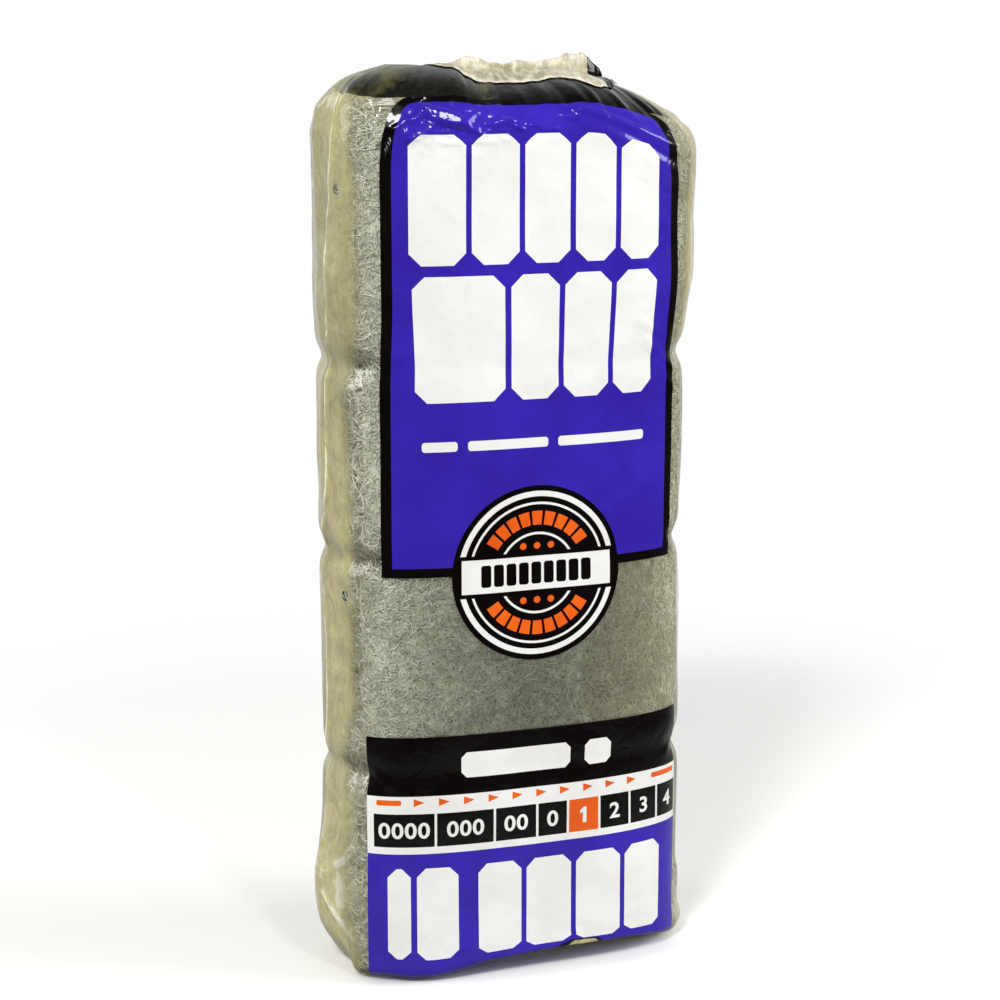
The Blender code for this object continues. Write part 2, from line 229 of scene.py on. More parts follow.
# Single folds of the film: from (s, t) to (s, t), height and half width
FOLDS = np.array([
    (-41, 247, -34, 252, 0.5, 0.9), (-37, 251, -36, 243, 0.55, 0.8), (-36, 244, -31, 246, 0.5, 0.8),
    (-31, 254, -24, 251, 0.9, 1.5), (-25, 251, -18, 247, 0.8, 1.3), (-30, 247, -27, 252, 0.5, 0.7),
    (-26, 243, -22, 249, 0.5, 0.8), (-20, 250, -16, 256, 0.55, 1.0), (-13, 248, -9, 251, 0.6, 1.0),
    (-10, 251, -4, 247, 0.6, 0.9), (-17, 244, -12, 248, 0.4, 0.8), (-3, 249, 4, 247, 0.45, 0.8),
    (6, 253, 13, 250, 0.4, 1.0), (8, 255, 44, 247, 0.5, 1.4), (12, 252, 46, 241, -0.35, 1.6),
    (-45, 240, -43, 226, 0.4, 0.8), (-46, 252, -44, 243, 0.5, 0.9), (34, 186, 50, 174, 0.5, 1.8),
    (38, 180, 51, 165, 0.35, 1.3), (30, 192, 44, 186, 0.25, 1.4), (-50, 178, -38, 186, 0.3, 1.6),
    (-50, 131, -40, 124, 0.3, 1.4), (42, 128, 51, 121, 0.35, 1.5), (44, 60, 52, 66, 0.35, 1.3),
    (-51, 66, -43, 60, 0.3, 1.5), (8, 0, 13, 10, 0.5, 1.4), (16, 0, 13, 8, 0.35, 1.2),
    (-68, 24, -62.8, 18.9, 0.6, 1.0), (-62.8, 18.9, -55.2, 11.6, 0.6, 1.0),
    (-53.7, 40.5, -59.4, 34.9, 0.4, 1.4), (-59.4, 34.9, -69, 28.7, 0.45, 1.5),
    (-62, 43, -71, 35, -0.9, 0.9), (54, 24, 62, 8, 0.8, 1.5), (58, 40, 66, 34, 0.6, 1.3),
    (-90, 190, -84, 176, 0.5, 1.0), (84, 60, 92, 70, 0.5, 1.2), (100, 150, 120, 131, 0.35, 1.2),
    (-128, 60, -104, 68, 0.35, 1.2), (-120, 196, -96, 182, 0.35, 1.4), (112, 236, 132, 224, 0.35, 1.3),
])
# Faint slanting folds all over the back, thicker near the draws between the rows
_random = np.random.default_rng(61)
_start = np.stack([_random.choice((-1, 1), 44) * _random.uniform(86, 138, 44),
                   np.where(np.arange(44) % 3, _random.choice(BOUNDARIES, 44) + _random.normal(0, 7, 44),
                            _random.uniform(15, 245, 44))], 1)
_length = _random.uniform(6, 20, 44)[:, None]
_run = _length * np.stack([_random.choice((-1, 1), 44) * 0.85, _random.uniform(-0.6, 0.6, 44)], 1)
FOLDS = np.concatenate([FOLDS, np.column_stack([_start, _start + _run, _random.uniform(0.25, 0.6, 44),
                                                _random.uniform(0.9, 1.8, 44)])])
# Line of the gusset's sharp crease, as t and the way round from the front
CREASE_LINE = np.array([(0, 71.5), (55, 72.5), (75, 69.7), (99, 69.6), (122, 71.6), (145, 68.2),
                        (167, 68.0), (184, 67.8), (191, 65.0), (213, 63.0), (227, 61.3),
                        (240, 60.0), (254, 59.7), (280, 66)])


def crease_nearness(s, t, width):
    """1 on the gussets' sharp creases, falling off as a bell curve over a width."""
    line = np.interp(t, CREASE_LINE[:, 0], CREASE_LINE[:, 1]) + 0.5 * noise(t / 9 + 20, np.sign(s) + 3.5, 15)
    return np.exp(-((np.abs(s) - line) / width) ** 2)


def fold_places(s, t, fold):
    """Share of the way along a single fold, and the distance beside it."""
    s0, t0, s1, t1 = fold[:4]
    run = np.array([s1 - s0, t1 - t0])
    share = ((s - s0) * run[0] + (t - t0) * run[1]) / (run @ run)
    held = np.clip(share, 0, 1)
    return share, np.hypot(s - s0 - held * run[0], t - t0 - held * run[1])


def wrinkles(s, t):
    """Height of the film over its smooth shape: low lumps from the pads, soft waves and a sharp
    crease in the gussets, pleats that run up to the seal, a swell and small crinkles at the upper
    left, the single folds, and fins at the foot of both sides."""
    way = np.abs(s)
    lumps = 0.34 * noise(s / 27 + 50, t / 31, 3) + 0.16 * noise(s / 12 + 50, t / 13, 4)
    gusset = smooth_step((way - 50) / 10) * smooth_step((2 * CREASE_S - 50 - way) / 10)
    height = lumps + gusset * (0.4 * noise(s / 6 + 40, t / 26, 6) + 0.12 * noise(s / 2.5 + 30, t / 9, 7))
    height += 0.55 * crease_nearness(s, t, 0.8)
    gather = smooth_step((t - SHOULDER + 2) / SHOULDER_SPAN)
    pleat = 0.9 * noise(s / 4.6 + 20, t / 30, 8) + 0.5 * noise(s / 2.2 + 20, t / 9, 9)
    height += gather * (1 - gather) * 2.4 * pleat
    swell = 3.2 * smooth_step((t - SHOULDER - 4) / 18) * smooth_step((-s - 14) / 12)
    height += swell * smooth_step((95 + s) / 20)
    corner = np.exp(-((s + 23) / 20) ** 2 - ((t - 249) / 6.5) ** 2)
    crinkle = 1 - np.abs(noise(s / 4.4 + 10, t / 3.6, 10)) * 2.2
    height += corner * 0.5 * crinkle
    for fold in FOLDS:
        share, beside = fold_places(s, t, fold)
        tall, wide = fold[4:]
        ends = 1 - smooth_step(np.abs(share - 0.5) * 2.2 - 0.6)
        height += tall * ends * np.exp(-(beside / wide) ** 2)
    calm = smooth_step(t / 5) * smooth_step((FILM_TOP - t) / 6) * smooth_step((2 * CREASE_S - way) / 7)
    flare = 3.4 * np.exp(-((t - 25) / 15) ** 2 - ((s + 72) / 13) ** 2)
    flare += 3.2 * np.exp(-((t - 5.5) / 4.5) ** 2 - ((s - 60) / 6) ** 2) * smooth_step(t / 3)
    return np.clip(height, -0.5, 3.3) * calm + flare


# Small flat facets of the crumpled film near the panel's top: s, t, half length, half width and
# turn in degrees. They face the front, a little up and to the left.
FACETS = ((-25.0, 250.9, 4.8, 1.9, -18), (-30.8, 253.8, 1.9, 0.9, -50), (-36.6, 247.2, 2.5, 0.8, 95),
          (-34.6, 244.9, 1.7, 0.8, 0), (-10.4, 249.9, 3.4, 0.8, 10), (-6.2, 248.5, 1.8, 0.8, -35),
          (-32.8, 257.3, 1.9, 0.8, 45), (-13.2, 252.4, 1.8, 0.8, 55), (-11.0, 255.2, 1.3, 0.8, 20),
          (3.0, 247.2, 2.0, 0.7, 5), (-21.5, 246.0, 1.5, 0.7, 35), (-41.3, 243.0, 3.4, 0.7, 88),
          (-19.6, 253.6, 2.2, 0.7, -8), (-17.8, 247.8, 1.8, 0.7, -60), (-28.6, 247.6, 1.8, 0.7, 60),
          (-24.4, 243.6, 2.6, 0.7, -15), (8.5, 251.6, 2.4, 0.7, -20), (-2.2, 253.4, 1.6, 0.7, 30))
FACET_NORMAL = np.array([-0.118, -0.917, 0.381])
# Above and between these ways the film's grid is finer, for the facets
CRUMPLE_FOOT = 238.0
CRUMPLE_LEFT = -45
CRUMPLE_RIGHT = -8
# How far the front's columns reach, the columns on each side of them, and the bottom's rows
FRONT_REACH = 54
SIDE_POINTS = 66
BOTTOM_ROWS = 25
# Longest edge of the print's outlines
PRINT_STEP = 0.9
# Shade in each ink's mottle
INK_SHADES = {"blue": "#33209F", "black": "#080404", "white": "#ECEAE5", "orange": "#E35B18"}


def film_point(s, t, lift=0.0):
    """Point of the film in millimetres, or of something at a height over it. Within a facet the
    film is drawn to the plane through the facet's middle."""
    base, normal, height = smooth_film(s, t), film_normals(s, t), wrinkles(s, t)
    for s0, t0, half_length, half_width, turn in FACETS:
        middle = np.array([s0]), np.array([t0])
        rise = (smooth_film(*middle) + wrinkles(*middle)[:, None] * film_normals(*middle))[0]
        cos, sin = math.cos(math.radians(turn)), math.sin(math.radians(turn))
        along, beside = (s - s0) * cos + (t - t0) * sin, (t - t0) * cos - (s - s0) * sin
        weight = smooth_step(1.7 - np.hypot(along / half_length, beside / half_width))
        drop = (rise - base) @ FACET_NORMAL / np.maximum(normal @ FACET_NORMAL, 0.3)
        height = np.where(weight > 0, height + weight * (np.clip(drop, -3, 4) - height), height)
    return base + (height + lift)[..., None] * normal


# Print


def box(s0, t0, s1, t1, chamfer=0.0):
    """Corners of an upright box, with its corners cut off by a chamfer."""
    c = chamfer
    if not c:
        return np.array([(s0, t0), (s1, t0), (s1, t1), (s0, t1)], float)
    return np.array([(s0 + c, t0), (s1 - c, t0), (s1, t0 + c), (s1, t1 - c), (s1 - c, t1),
                     (s0 + c, t1), (s0, t1 - c), (s0, t0 + c)], float)


def rounded(s0, t0, s1, t1, radius, corners=(True, True, True, True)):
    """Box with circular corners, in the order lower left, lower right, upper right, upper left."""
    points = []
    for k, (cs, ct) in enumerate(((s0, t0), (s1, t0), (s1, t1), (s0, t1))):
        if not corners[k]:
            points.append((cs, ct))
            continue
        inward = np.array(((1, 1), (-1, 1), (-1, -1), (1, -1))[k])
        centre = np.array([cs, ct]) + inward * radius
        angles = np.radians(180 + 90 * k + np.linspace(0, 90, 7))
        points += list(zip(centre[0] + radius * np.cos(angles), centre[1] + radius * np.sin(angles)))
    return np.array(points, float)


def disc(s, t, radius, steps=96):
    """Circle."""
    angles = np.linspace(0, 2 * np.pi, steps, endpoint=False)
    return np.stack([s + radius * np.cos(angles), t + radius * np.sin(angles)], 1)


def sector(s, t, inner, outer, start, end):
    """Piece of a ring between two angles in degrees."""
    angles = np.radians(np.linspace(start, end, 8))
    rim = np.stack([np.cos(angles), np.sin(angles)], 1)
    return np.concatenate([rim * outer, rim[::-1] * inner]) + (s, t)


def digit_loops(text, s, t, height, widening=1.1):
    """Outlines of digits set from Blender's own letter shapes, widened and centred on (s, t)."""
    curve = bpy.data.curves.new("digits", "FONT")
    curve.body, curve.space_character, curve.offset = text, 1.08, 0.022
    holder = bpy.data.objects.new("digits", curve)
    bpy.context.collection.objects.link(holder)
    mesh = holder.to_mesh()
    points = np.array([tuple(vertex.co[:2]) for vertex in mesh.vertices])
    links = {}
    for polygon in mesh.polygons:
        for edge in polygon.edge_keys:
            links[edge] = links.get(edge, 0) + 1
    follow = {}
    for a, b in (edge for edge, count in links.items() if count == 1):
        follow.setdefault(a, []).append(b)
        follow.setdefault(b, []).append(a)
    holder.to_mesh_clear()
    bpy.data.objects.remove(holder)
    bpy.data.curves.remove(curve)
    loops = []
    while follow:
        start = next(iter(follow))
        loop, here = [start], start
        while follow.get(here):
            following = follow[here].pop()
            follow[following].remove(here)
            here = following
            if here != start:
                loop.append(here)
        follow = {key: value for key, value in follow.items() if value}
        loops.append(points[loop])
    low, high = points.min(0), points.max(0)
    scale = height / (high[1] - low[1]) * np.array([widening, 1])
    return [(loop - (low + high) / 2) * scale + (s, t) for loop in loops]


# Plain 1 with a flag, about its middle
ONE = np.array([(-0.35, -2.4), (0.85, -2.4), (0.85, 2.4), (-0.1, 2.4), (-1.25, 1.35), (-1.25, 0.45),
                (-0.35, 1.0)])


def slanted(loop):
    """Loop drawn in towards its middle over the top row, and further where the film narrows."""
    t = loop[:, 1]
    share, top = smooth_step((t - BOUNDARIES[-1] + 4) / 26), np.clip((t - 236) / 22, 0, 1)
    left = 1.5 * share + 3.4 * top ** 1.6
    right = 0.8 * share + 0.6 * smooth_step((t - 200) / 20) + 2.6 * top
    return loop + np.stack([np.where(loop[:, 0] < 0, left, -right), 0 * t], 1)


def field(ink, *loops):
    """Field of one ink: within an odd count of its loops."""
    return ink, list(loops)


def panel(left, bottom, right, top, radius):
    """Outline of the tall panel, round at its upper corners."""
    return slanted(cut_into(rounded(left, bottom, right, top, radius, (False, False, True, True)), 3))


def print_shapes():
    """Every field of the print, as (ink, loops), from the lowest ink to the topmost, with a black wedge at
    the foot that is not print but a painted shadow under the curled fold.

    Blocks and bars stand where the real bag carries words; only the scale's numbers are drawn.
    """
    shapes = [field("blue", box(PRINT_LEFT, 0, PRINT_RIGHT, FIELD_TOP)),
              # Painted shadow: black wedge under the curled fold at the foot, round its clear patch
              field("black", np.array([(3.5, 0.0), (11.5, 6.2), (20.0, 5.0), (23.0, 0.0)])),
              field("clear", np.array([(8.5, 0.0), (12.6, 5.2), (19.0, 4.4), (21.8, 0.0)])),
              field("white", box(PRINT_LEFT, FIELD_TOP, PRINT_RIGHT, SCALE_TOP)),
              field("black", box(PRINT_LEFT, SCALE_TOP, PRINT_RIGHT, BAND_TOP))]
    blocks = [(-44.3, -37.6, 7.2), (-35.8, -23.6, 7.0), (-17.6, -4.4, 6.2), (-2.8, 11.2, 5.8),
              (12.8, 27.2, 5.8), (28.8, 42.2, 6.4)]
    shapes += [field("white", box(s0, t0, s1, 35.4, 2.6)) for s0, s1, t0 in blocks]
    shapes += scale_shapes((-48.6, -30.2, -12.6, 0.5, 10.1, 20.2, 30.5, 40.8, PRINT_RIGHT), 41.9, 51.9, 46.9)
    for s0 in np.arange(10) * 7.35 - 36.6:
        shapes.append(field("orange", np.array([(s0, 54.1), (s0 + 3.2, 55.3), (s0, 56.5)])))
    shapes += [field("orange", box(s0, 54.5, s1, 56.1, 0.3)) for s0, s1 in ((-47.4, -40.2), (38.6, 49.2))]
    shapes += [field("white", box(s0, 62.0, s1, 69.6, 1.6)) for s0, s1 in ((-22.6, 10.8), (15.4, 24.0))]
    shapes.append(field("black", panel(-45.3, 121.6, 45.6, 258.4, 5)))
    shapes.append(field("blue", panel(-42.2, 124.2, 42.5, 256.6, 3.5)))
    upper = [(-36.2, -20.4), (-18.8, -5.2), (-3.6, 9.4), (11.0, 22.6), (24.2, 36.4)]
    lower = [(-35.4, -9.4), (-7.6, 6.4), (8.0, 21.6), (23.2, 36.2)]
    for places, bottom, top in ((upper, 209.4, 245.6), (lower, 171.2, 206.4)):
        shapes += [field("white", box(s0, bottom, s1, top, 3.4)) for s0, s1 in places]
    for s0, s1 in ((-33.6, -23.4), (-20.4, 3.4), (6.4, 33.8)):
        shapes.append(field("white", rounded(s0, 157.4, s1, 160.2, 0.9)))
    shapes.append(field("black", np.array([(-46.0, 258.0), (47.0, 258.0), (43.5, FILM_TOP),
                                           (-46.0, FILM_TOP)])))
    shapes.append(field("thin", np.array([(-70.0, 259.6), (-46.0, 257.4), (-10.0, 259.4), (-10.0, FILM_TOP),
                                          (-70.0, FILM_TOP)])))
    return shapes + roundel_shapes(0.2, 121.0)


def scale_shapes(edges, bottom, top, level):
    """Boxes of the scale with a plain number in each at a level, the fifth box in orange."""
    shapes = []
    for k, number in enumerate(("0000", "000", "00", "0", "1", "2", "3", "4")):
        s0, s1 = edges[k] + 0.35, edges[k + 1] - 0.35
        shapes.append(field("orange" if k == 4 else "black", box(s0, bottom, s1, top)))
        middle = (s0 + s1) / 2
        loops = [ONE + (middle, level)] if number == "1" else digit_loops(number, middle, level, 4.8)
        shapes.append(field("white", *loops))
    return shapes


def roundel_shapes(s, t):
    """Round seal of quality: rings, two rows of orange dashes, and a bar across the middle."""
    shapes = [field("black", disc(s, t, 25.4))]
    for outer, inner in ((23.8, 22.2), (20.6, 19.9), (11.9, 11.2)):
        shapes.append(field("white", disc(s, t, outer), disc(s, t, inner)))
    for middle, side in ((90, 1), (270, -1)):
        for k in range(-4, 5):
            centre = middle + k * 13.2
            shapes.append(field("orange", sector(s, t, 14.0, 18.0, centre - 5.2, centre + 5.2)))
        for k in (-1, 0, 1):
            shapes.append(field("orange", disc(s + 4.2 * k, t + side * 7.9, 1.0, 24)))
    shapes.append(field("black", box(s - 24.4, t - 6.1, s + 24.4, t + 6.1)))
    shapes.append(field("white", box(s - 22.6, t - 4.9, s + 22.6, t + 4.9)))
    for s0 in s - 16.9 + 3.8 * np.arange(9):
        shapes.append(field("black", box(s0, t - 3.2, s0 + 3.0, t + 3.2, 0.5)))
    return shapes


def inside(points, loops):
    """Which points lie within closed loops, by the even and odd count of the edges to their right."""
    result = np.zeros(len(points), bool)
    x, y = points[:, 0], points[:, 1]
    for loop in loops:
        following = np.roll(loop, -1, axis=0)
        near = np.flatnonzero((x > loop[:, 0].min()) & (x < loop[:, 0].max())
                              & (y > loop[:, 1].min()) & (y < loop[:, 1].max()))
        if not len(near):
            continue
        px, py = x[near, None], y[near, None]
        (ax, ay), (bx, by) = loop.T, following.T
        crosses = (ay > py) != (by > py)
        with np.errstate(divide="ignore", invalid="ignore"):
            beyond = px < (bx - ax) * (py - ay) / (by - ay) + ax
        result[near] ^= (crosses & beyond).sum(1) % 2 == 1
    return result


def cut_into(loop, step):
    """Closed loop with its long edges cut into short ones, so that it bends with the film."""
    following = np.roll(loop, -1, axis=0)
    counts = np.maximum(np.ceil(np.hypot(*(following - loop).T) / step).astype(int), 1)
    starts = np.repeat(loop, counts, axis=0)
    runs = np.repeat(following - loop, counts, axis=0)
    places = np.concatenate([np.arange(count) / count for count in counts])
    return starts + runs * places[:, None]


# Meshes and materials


def linear(colour):
    """Linear colour of an sRGB hex string such as #898D76."""
    values = [int(colour[k:k + 2], 16) / 255 for k in (1, 3, 5)]
    return (*(v / 12.92 if v <= 0.04045 else ((v + 0.055) / 1.055) ** 2.4 for v in values), 1.0)


class Shading:
    """Nodes of a material or a world, with a method for each kind that is used often. Values
    given to an input are set, and sockets are linked."""

    def __init__(self, owner):
        self.owner = owner
        owner.use_nodes = True
        owner.node_tree.nodes.clear()

    def add(self, kind, inputs=None, **settings):
        """Node of a kind, without the words ShaderNode."""
        result = self.owner.node_tree.nodes.new("ShaderNode" + kind)
        for name, value in settings.items():
            setattr(result, name, value)
        for key, value in (inputs or {}).items():
            if isinstance(value, bpy.types.NodeSocket):
                self.owner.node_tree.links.new(value, result.inputs[key])
            else:
                result.inputs[key].default_value = value
        return result

    def shader(self, kind, inputs=None):
        """First output of a node that has one."""
        return self.add(kind, inputs).outputs[0]

    def math(self, operation, *values, clamp=False):
        """Result of one operation on values and sockets."""
        return self.add("Math", dict(enumerate(values)), operation=operation, use_clamp=clamp).outputs[0]

    def span(self, value, start, end, low=0.0, high=1.0, course="LINEAR"):
        """Value carried from start and end over to low and high, and held at its ends."""
        inputs = {"Value": value, "From Min": start, "From Max": end, "To Min": low, "To Max": high}
        return self.add("MapRange", inputs, interpolation_type=course).outputs["Result"]

    def noise(self, place, scale, detail, roughness=0.5, distortion=0.0, dimensions="2D"):
        """Noise from 0 to 1 over a place, or along a single number."""
        inputs = {"W" if dimensions == "1D" else "Vector": place, "Scale": scale, "Detail": detail,
                  "Roughness": roughness, "Distortion": distortion}
        return self.add("TexNoise", inputs, noise_dimensions=dimensions).outputs["Fac"]

    def tint(self, share, *stops):
        """Colour read between stops of (position, sRGB hex), from the lowest up."""
        ramp = self.add("ValToRGB", {"Fac": share})
        elements = ramp.color_ramp.elements
        elements.remove(elements[1])
        elements[0].position, elements[0].color = stops[0][0], linear(stops[0][1])
        for position, colour in stops[1:]:
            elements.new(position).color = linear(colour)
        return ramp.outputs["Color"]

    def attribute(self, name):
        """Number that a mesh keeps for each of its points."""
        return self.add("Attribute", attribute_name=name).outputs["Fac"]

    def film_place(self):
        """Flat place on the film, in units of 100 mm."""
        return self.add("UVMap", uv_map="film").outputs["UV"]

    def object_place(self):
        """Place in the object's own metres."""
        return self.add("TexCoord").outputs["Object"]

    def bump(self, height, strength, distance):
        """Surface direction bent by a height. The distance is in metres."""
        inputs = {"Strength": strength, "Distance": distance, "Height": height}
        return self.add("Bump", inputs).outputs["Normal"]

    def film_bump(self):
        """Fine crinkle of thin blown film."""
        return self.bump(self.noise(self.film_place(), 22.0, 2.0, 0.45, 0.6), 0.22, 0.0006)

    def mix(self, share, first, second):
        """First shader at a share of 0 and second at a share of 1."""
        return self.shader("MixShader", {0: share, 1: first, 2: second})

    def surface(self, shader):
        """Ends the tree with a shader on the surface, and gives back what it belongs to."""
        kind = "OutputWorld" if isinstance(self.owner, bpy.types.World) else "OutputMaterial"
        self.add(kind, {"Surface": shader})
        return self.owner


def add_mesh(name, points, faces, materials):
    """Piece from points in millimetres and faces, riding on the body, with nothing under the floor."""
    mesh = bpy.data.meshes.new(name)
    points = np.array(points, float)
    points[:, 2] = np.maximum(points[:, 2], FLOOR_CLEARANCE)
    mesh.from_pydata((points / 1000).tolist(), [], faces if isinstance(faces, list) else faces.tolist())
    for material in materials:
        mesh.materials.append(material)
    mesh.shade_smooth()
    mesh.validate()
    piece = bpy.data.objects.new(name, mesh)
    bpy.context.collection.objects.link(piece)
    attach(piece, "root")
    return piece


def grid_faces(rows, columns, closed=False):
    """Quads of a grid of points, wrapped round its columns where it is closed."""
    wide = columns if closed else columns - 1
    i, j = np.meshgrid(np.arange(rows - 1), np.arange(wide), indexing="ij")
    k = (j + 1) % columns
    corners = [i * columns + j, i * columns + k, (i + 1) * columns + k, (i + 1) * columns + j]
    return np.stack(corners, -1).reshape(-1, 4)


def crease_highlight_and_shade(nodes):
    """Painted highlight and painted shade of the gussets' sharp crease, for a material: the crease's
    nearness, 1 on the line and 0 from 0.4 mm beside it, which the material draws pale as a painted highlight,
    and a strip 3 mm wide beyond it, which the material darkens as painted shade. The line's way round is read
    from a curve."""
    parts = nodes.add("SeparateXYZ", {"Vector": nodes.film_place()})
    around, up = parts.outputs["X"], parts.outputs["Y"]
    top = CREASE_LINE[-1, 0]
    curve = nodes.add("FloatCurve", {"Value": nodes.math("DIVIDE", up, top / 100)})
    points = curve.mapping.curves[0].points
    points[0].location = (0, CREASE_LINE[0, 1] / 100)
    points[1].location = (1, CREASE_LINE[-1, 1] / 100)
    for t, s in CREASE_LINE[1:-1]:
        points.new(t / top, s / 100)
    curve.mapping.update()
    past = nodes.math("SUBTRACT", nodes.math("ABSOLUTE", around), curve.outputs[0])
    # Nearness to the crease line, later drawn pale as a painted highlight
    line = nodes.span(nodes.math("ABSOLUTE", past), 0.0008, 0.0038, 1.0, 0.0)
    # Strip beside the line, later darkened as painted shade
    band = nodes.span(past, 0.004, 0.034, 1.0, 0.0)
    beyond = nodes.math("MULTIPLY", band, nodes.math("GREATER_THAN", past, 0.003))
    broken = nodes.span(nodes.noise(up, 9.0, 3.0, dimensions="1D"), 0.35, 0.6, 0.25, 0.9)
    fading = nodes.span(up, 1.1, 1.9, 0.9, 0.35)
    return nodes.math("MULTIPLY", line, nodes.math("MULTIPLY", broken, fading)), beyond


def clear_film_material(light, dark, crease):
    """Clear low-density polyethylene, blown: sees through flat on, hazes in its folds, and keeps a sharp
    gloss on every wrinkle. Its creases are drawn as a pale line, a painted highlight, beside a darker strip
    of painted shade."""
    nodes = Shading(bpy.data.materials.new("clear polyethylene film"))
    normal, place = nodes.film_bump(), nodes.film_place()
    clouds = nodes.noise(place, 9.0, 4.0, 0.6, 1.2)
    drawn = nodes.add("Mapping", {"Vector": place, "Scale": (70, 34, 1)}).outputs["Vector"]
    veins = nodes.span(nodes.noise(drawn, 1.0, 3.0, 0.6, 0.8), 0.32, 0.66, 0.8, 1.08)
    uneven = nodes.math("MULTIPLY", veins, nodes.span(clouds, 0.3, 0.7, 0.88, 1.1))
    line, beyond = crease_highlight_and_shade(nodes)
    milk = nodes.math("MULTIPLY", nodes.attribute("haze"), uneven)
    share = nodes.math("MULTIPLY_ADD", line, 0.5, milk, clamp=True)
    pale = nodes.math("MULTIPLY_ADD", clouds, 0.4, nodes.attribute("paleness"))
    # Painted shade: the strip beside the crease is darkened
    shaded = nodes.math("MULTIPLY_ADD", beyond, -0.3, pale)
    # Painted highlight: the crease line is drawn in the pale crease colour
    tone = nodes.math("MULTIPLY_ADD", line, 1.2, shaded, clamp=True)
    milky = nodes.shader("BsdfPrincipled", {
        "Base Color": nodes.tint(tone, (0.3, dark), (0.9, light), (1.0, crease)),
        "Roughness": 0.6, "Specular IOR Level": 0.2, "Normal": normal})
    gloss = nodes.shader("BsdfGlossy", {"Color": (1, 1, 1, 1), "Roughness": 0.07, "Normal": normal})
    fresnel = nodes.shader("Fresnel", {"IOR": 1.33, "Normal": normal})
    body = nodes.mix(share, nodes.shader("BsdfTransparent"), milky)
    return nodes.surface(nodes.mix(fresnel, body, gloss))


def ink_material(name, colour, shade, cover=1.0):
    """Flexographic ink on the film's inner face: flat colour with faint mottle under glossy film.
    A cover under 1 lets what lies behind show through thin ink, paler towards the left gusset."""
    nodes = Shading(bpy.data.materials.new(name))
    normal, place = nodes.film_bump(), nodes.film_place()
    mottle = nodes.noise(place, 5.0, 6.0, 0.55)
    tone = mottle
    if cover < 1:
        parts = nodes.add("SeparateXYZ", {"Vector": place})
        tone = nodes.math("ADD", mottle, nodes.span(parts.outputs["X"], -0.7, -0.5, 0.3, -0.22))
    shader = nodes.shader("BsdfPrincipled", {
        "Base Color": nodes.tint(tone, (0.35, shade), (0.68, colour)),
        "Roughness": nodes.span(mottle, 0.3, 0.7, 0.22, 0.34), "IOR": 1.5,
        "Specular IOR Level": 0.1, "Coat Weight": 1.0, "Coat Roughness": 0.05, "Coat IOR": 1.3,
        "Normal": normal, "Coat Normal": normal})
    if cover < 1:
        shader = nodes.mix(cover, nodes.shader("BsdfTransparent"), shader)
    return nodes.surface(shader)


# Fields of curls in the wool's mat: scale, how thin the lines are, and a shift of the field
CURL_FIELDS = ((210.0, 16.0, 0.0), (540.0, 12.0, 0.37), (900.0, 8.0, 0.71))


def wool_material(settings):
    """Mat of fine steel shavings: bright curls of metal over darker gaps, drawn several times as coarse as
    real strands so that they show. The dark gaps are painted shade, and clumps are made lighter and darker by
    painted light and shade."""
    nodes = Shading(bpy.data.materials.new("steel wool mat"))
    place = nodes.object_place()
    lines = 0.0
    for scale, thinness, shift in CURL_FIELDS:
        moved = nodes.add("Mapping", {"Vector": place, "Location": (shift, shift * 0.6, shift * 0.3)})
        curls = nodes.noise(moved.outputs["Vector"], scale, 1.0, 0.4, 0.8, "3D")
        away = nodes.math("ABSOLUTE", nodes.math("SUBTRACT", curls, 0.5))
        line = nodes.math("MULTIPLY_ADD", away, -thinness, 1.0, clamp=True)
        lines = nodes.math("MAXIMUM", lines, line)
    # Painted light and shade: clumps of the mat made lighter and darker
    light = nodes.span(nodes.noise(place, 160.0, 3.0, 0.6, dimensions="3D"), 0.3, 0.7, 0.35, 1.0)
    shade = nodes.math("MULTIPLY", lines, light, clamp=True)
    # The gap colour is painted shade between the curls
    stops = (0.0, settings.painted_gap_shade), (0.3, settings.wool_colour), (0.9, settings.bright_colour)
    return nodes.surface(nodes.shader("BsdfPrincipled", {
        "Base Color": nodes.tint(shade, *stops), "Metallic": 0.05, "Roughness": 0.5,
        "Normal": nodes.bump(shade, 0.5, 0.0004)}))


def strand_material(settings):
    """Shaved carbon steel strand: a bright, slightly oily metal thread, each with its own tone, which is
    painted light and shade: the brightest strands stand in for glints.
    """
    nodes = Shading(bpy.data.materials.new("shaved steel strand"))
    stops = (0.0, settings.strand_dark), (1.0, settings.strand_light)
    return nodes.surface(nodes.shader("BsdfPrincipled", {
        "Base Color": nodes.tint(nodes.attribute("tone"), *stops), "Metallic": 0.1, "Roughness": 0.22}))


# Settings


def colour(label, use, default):
    """Property that holds a colour as sRGB hex."""
    return bpy.props.StringProperty(name=label, description=use + ", sRGB hex", default=default)


def number(label, use, default, low, high):
    """Property that holds a number, whole where its default is whole."""
    kind = bpy.props.IntProperty if isinstance(default, int) else bpy.props.FloatProperty
    return kind(name=label, description=use, default=default, min=low, max=high)


class FilmSettings(bpy.types.PropertyGroup):
    """Film bag and its print."""
    haze_light: colour("Haze, light", "Light tone of hazy folds", "#DBD29B")
    haze_dark: colour("Haze, dark", "Dark tone of hazy folds", "#ABA26F")
    # Pale colour of the crease line, a painted highlight
    crease: colour("Crease", "Sharp creases", "#F6F1D6")
    blue: colour("Blue ink", "Blue fields", "#3725AF")
    black: colour("Black ink", "Black fields", "#0B0606")
    white: colour("White ink", "White fields", "#F2F2F0")
    orange: colour("Orange ink", "Orange fields", "#F5691A")
    spacing: number("Grid on the front, mm", "Spacing of the film's points on the printed front", 0.9, 0.5, 3)


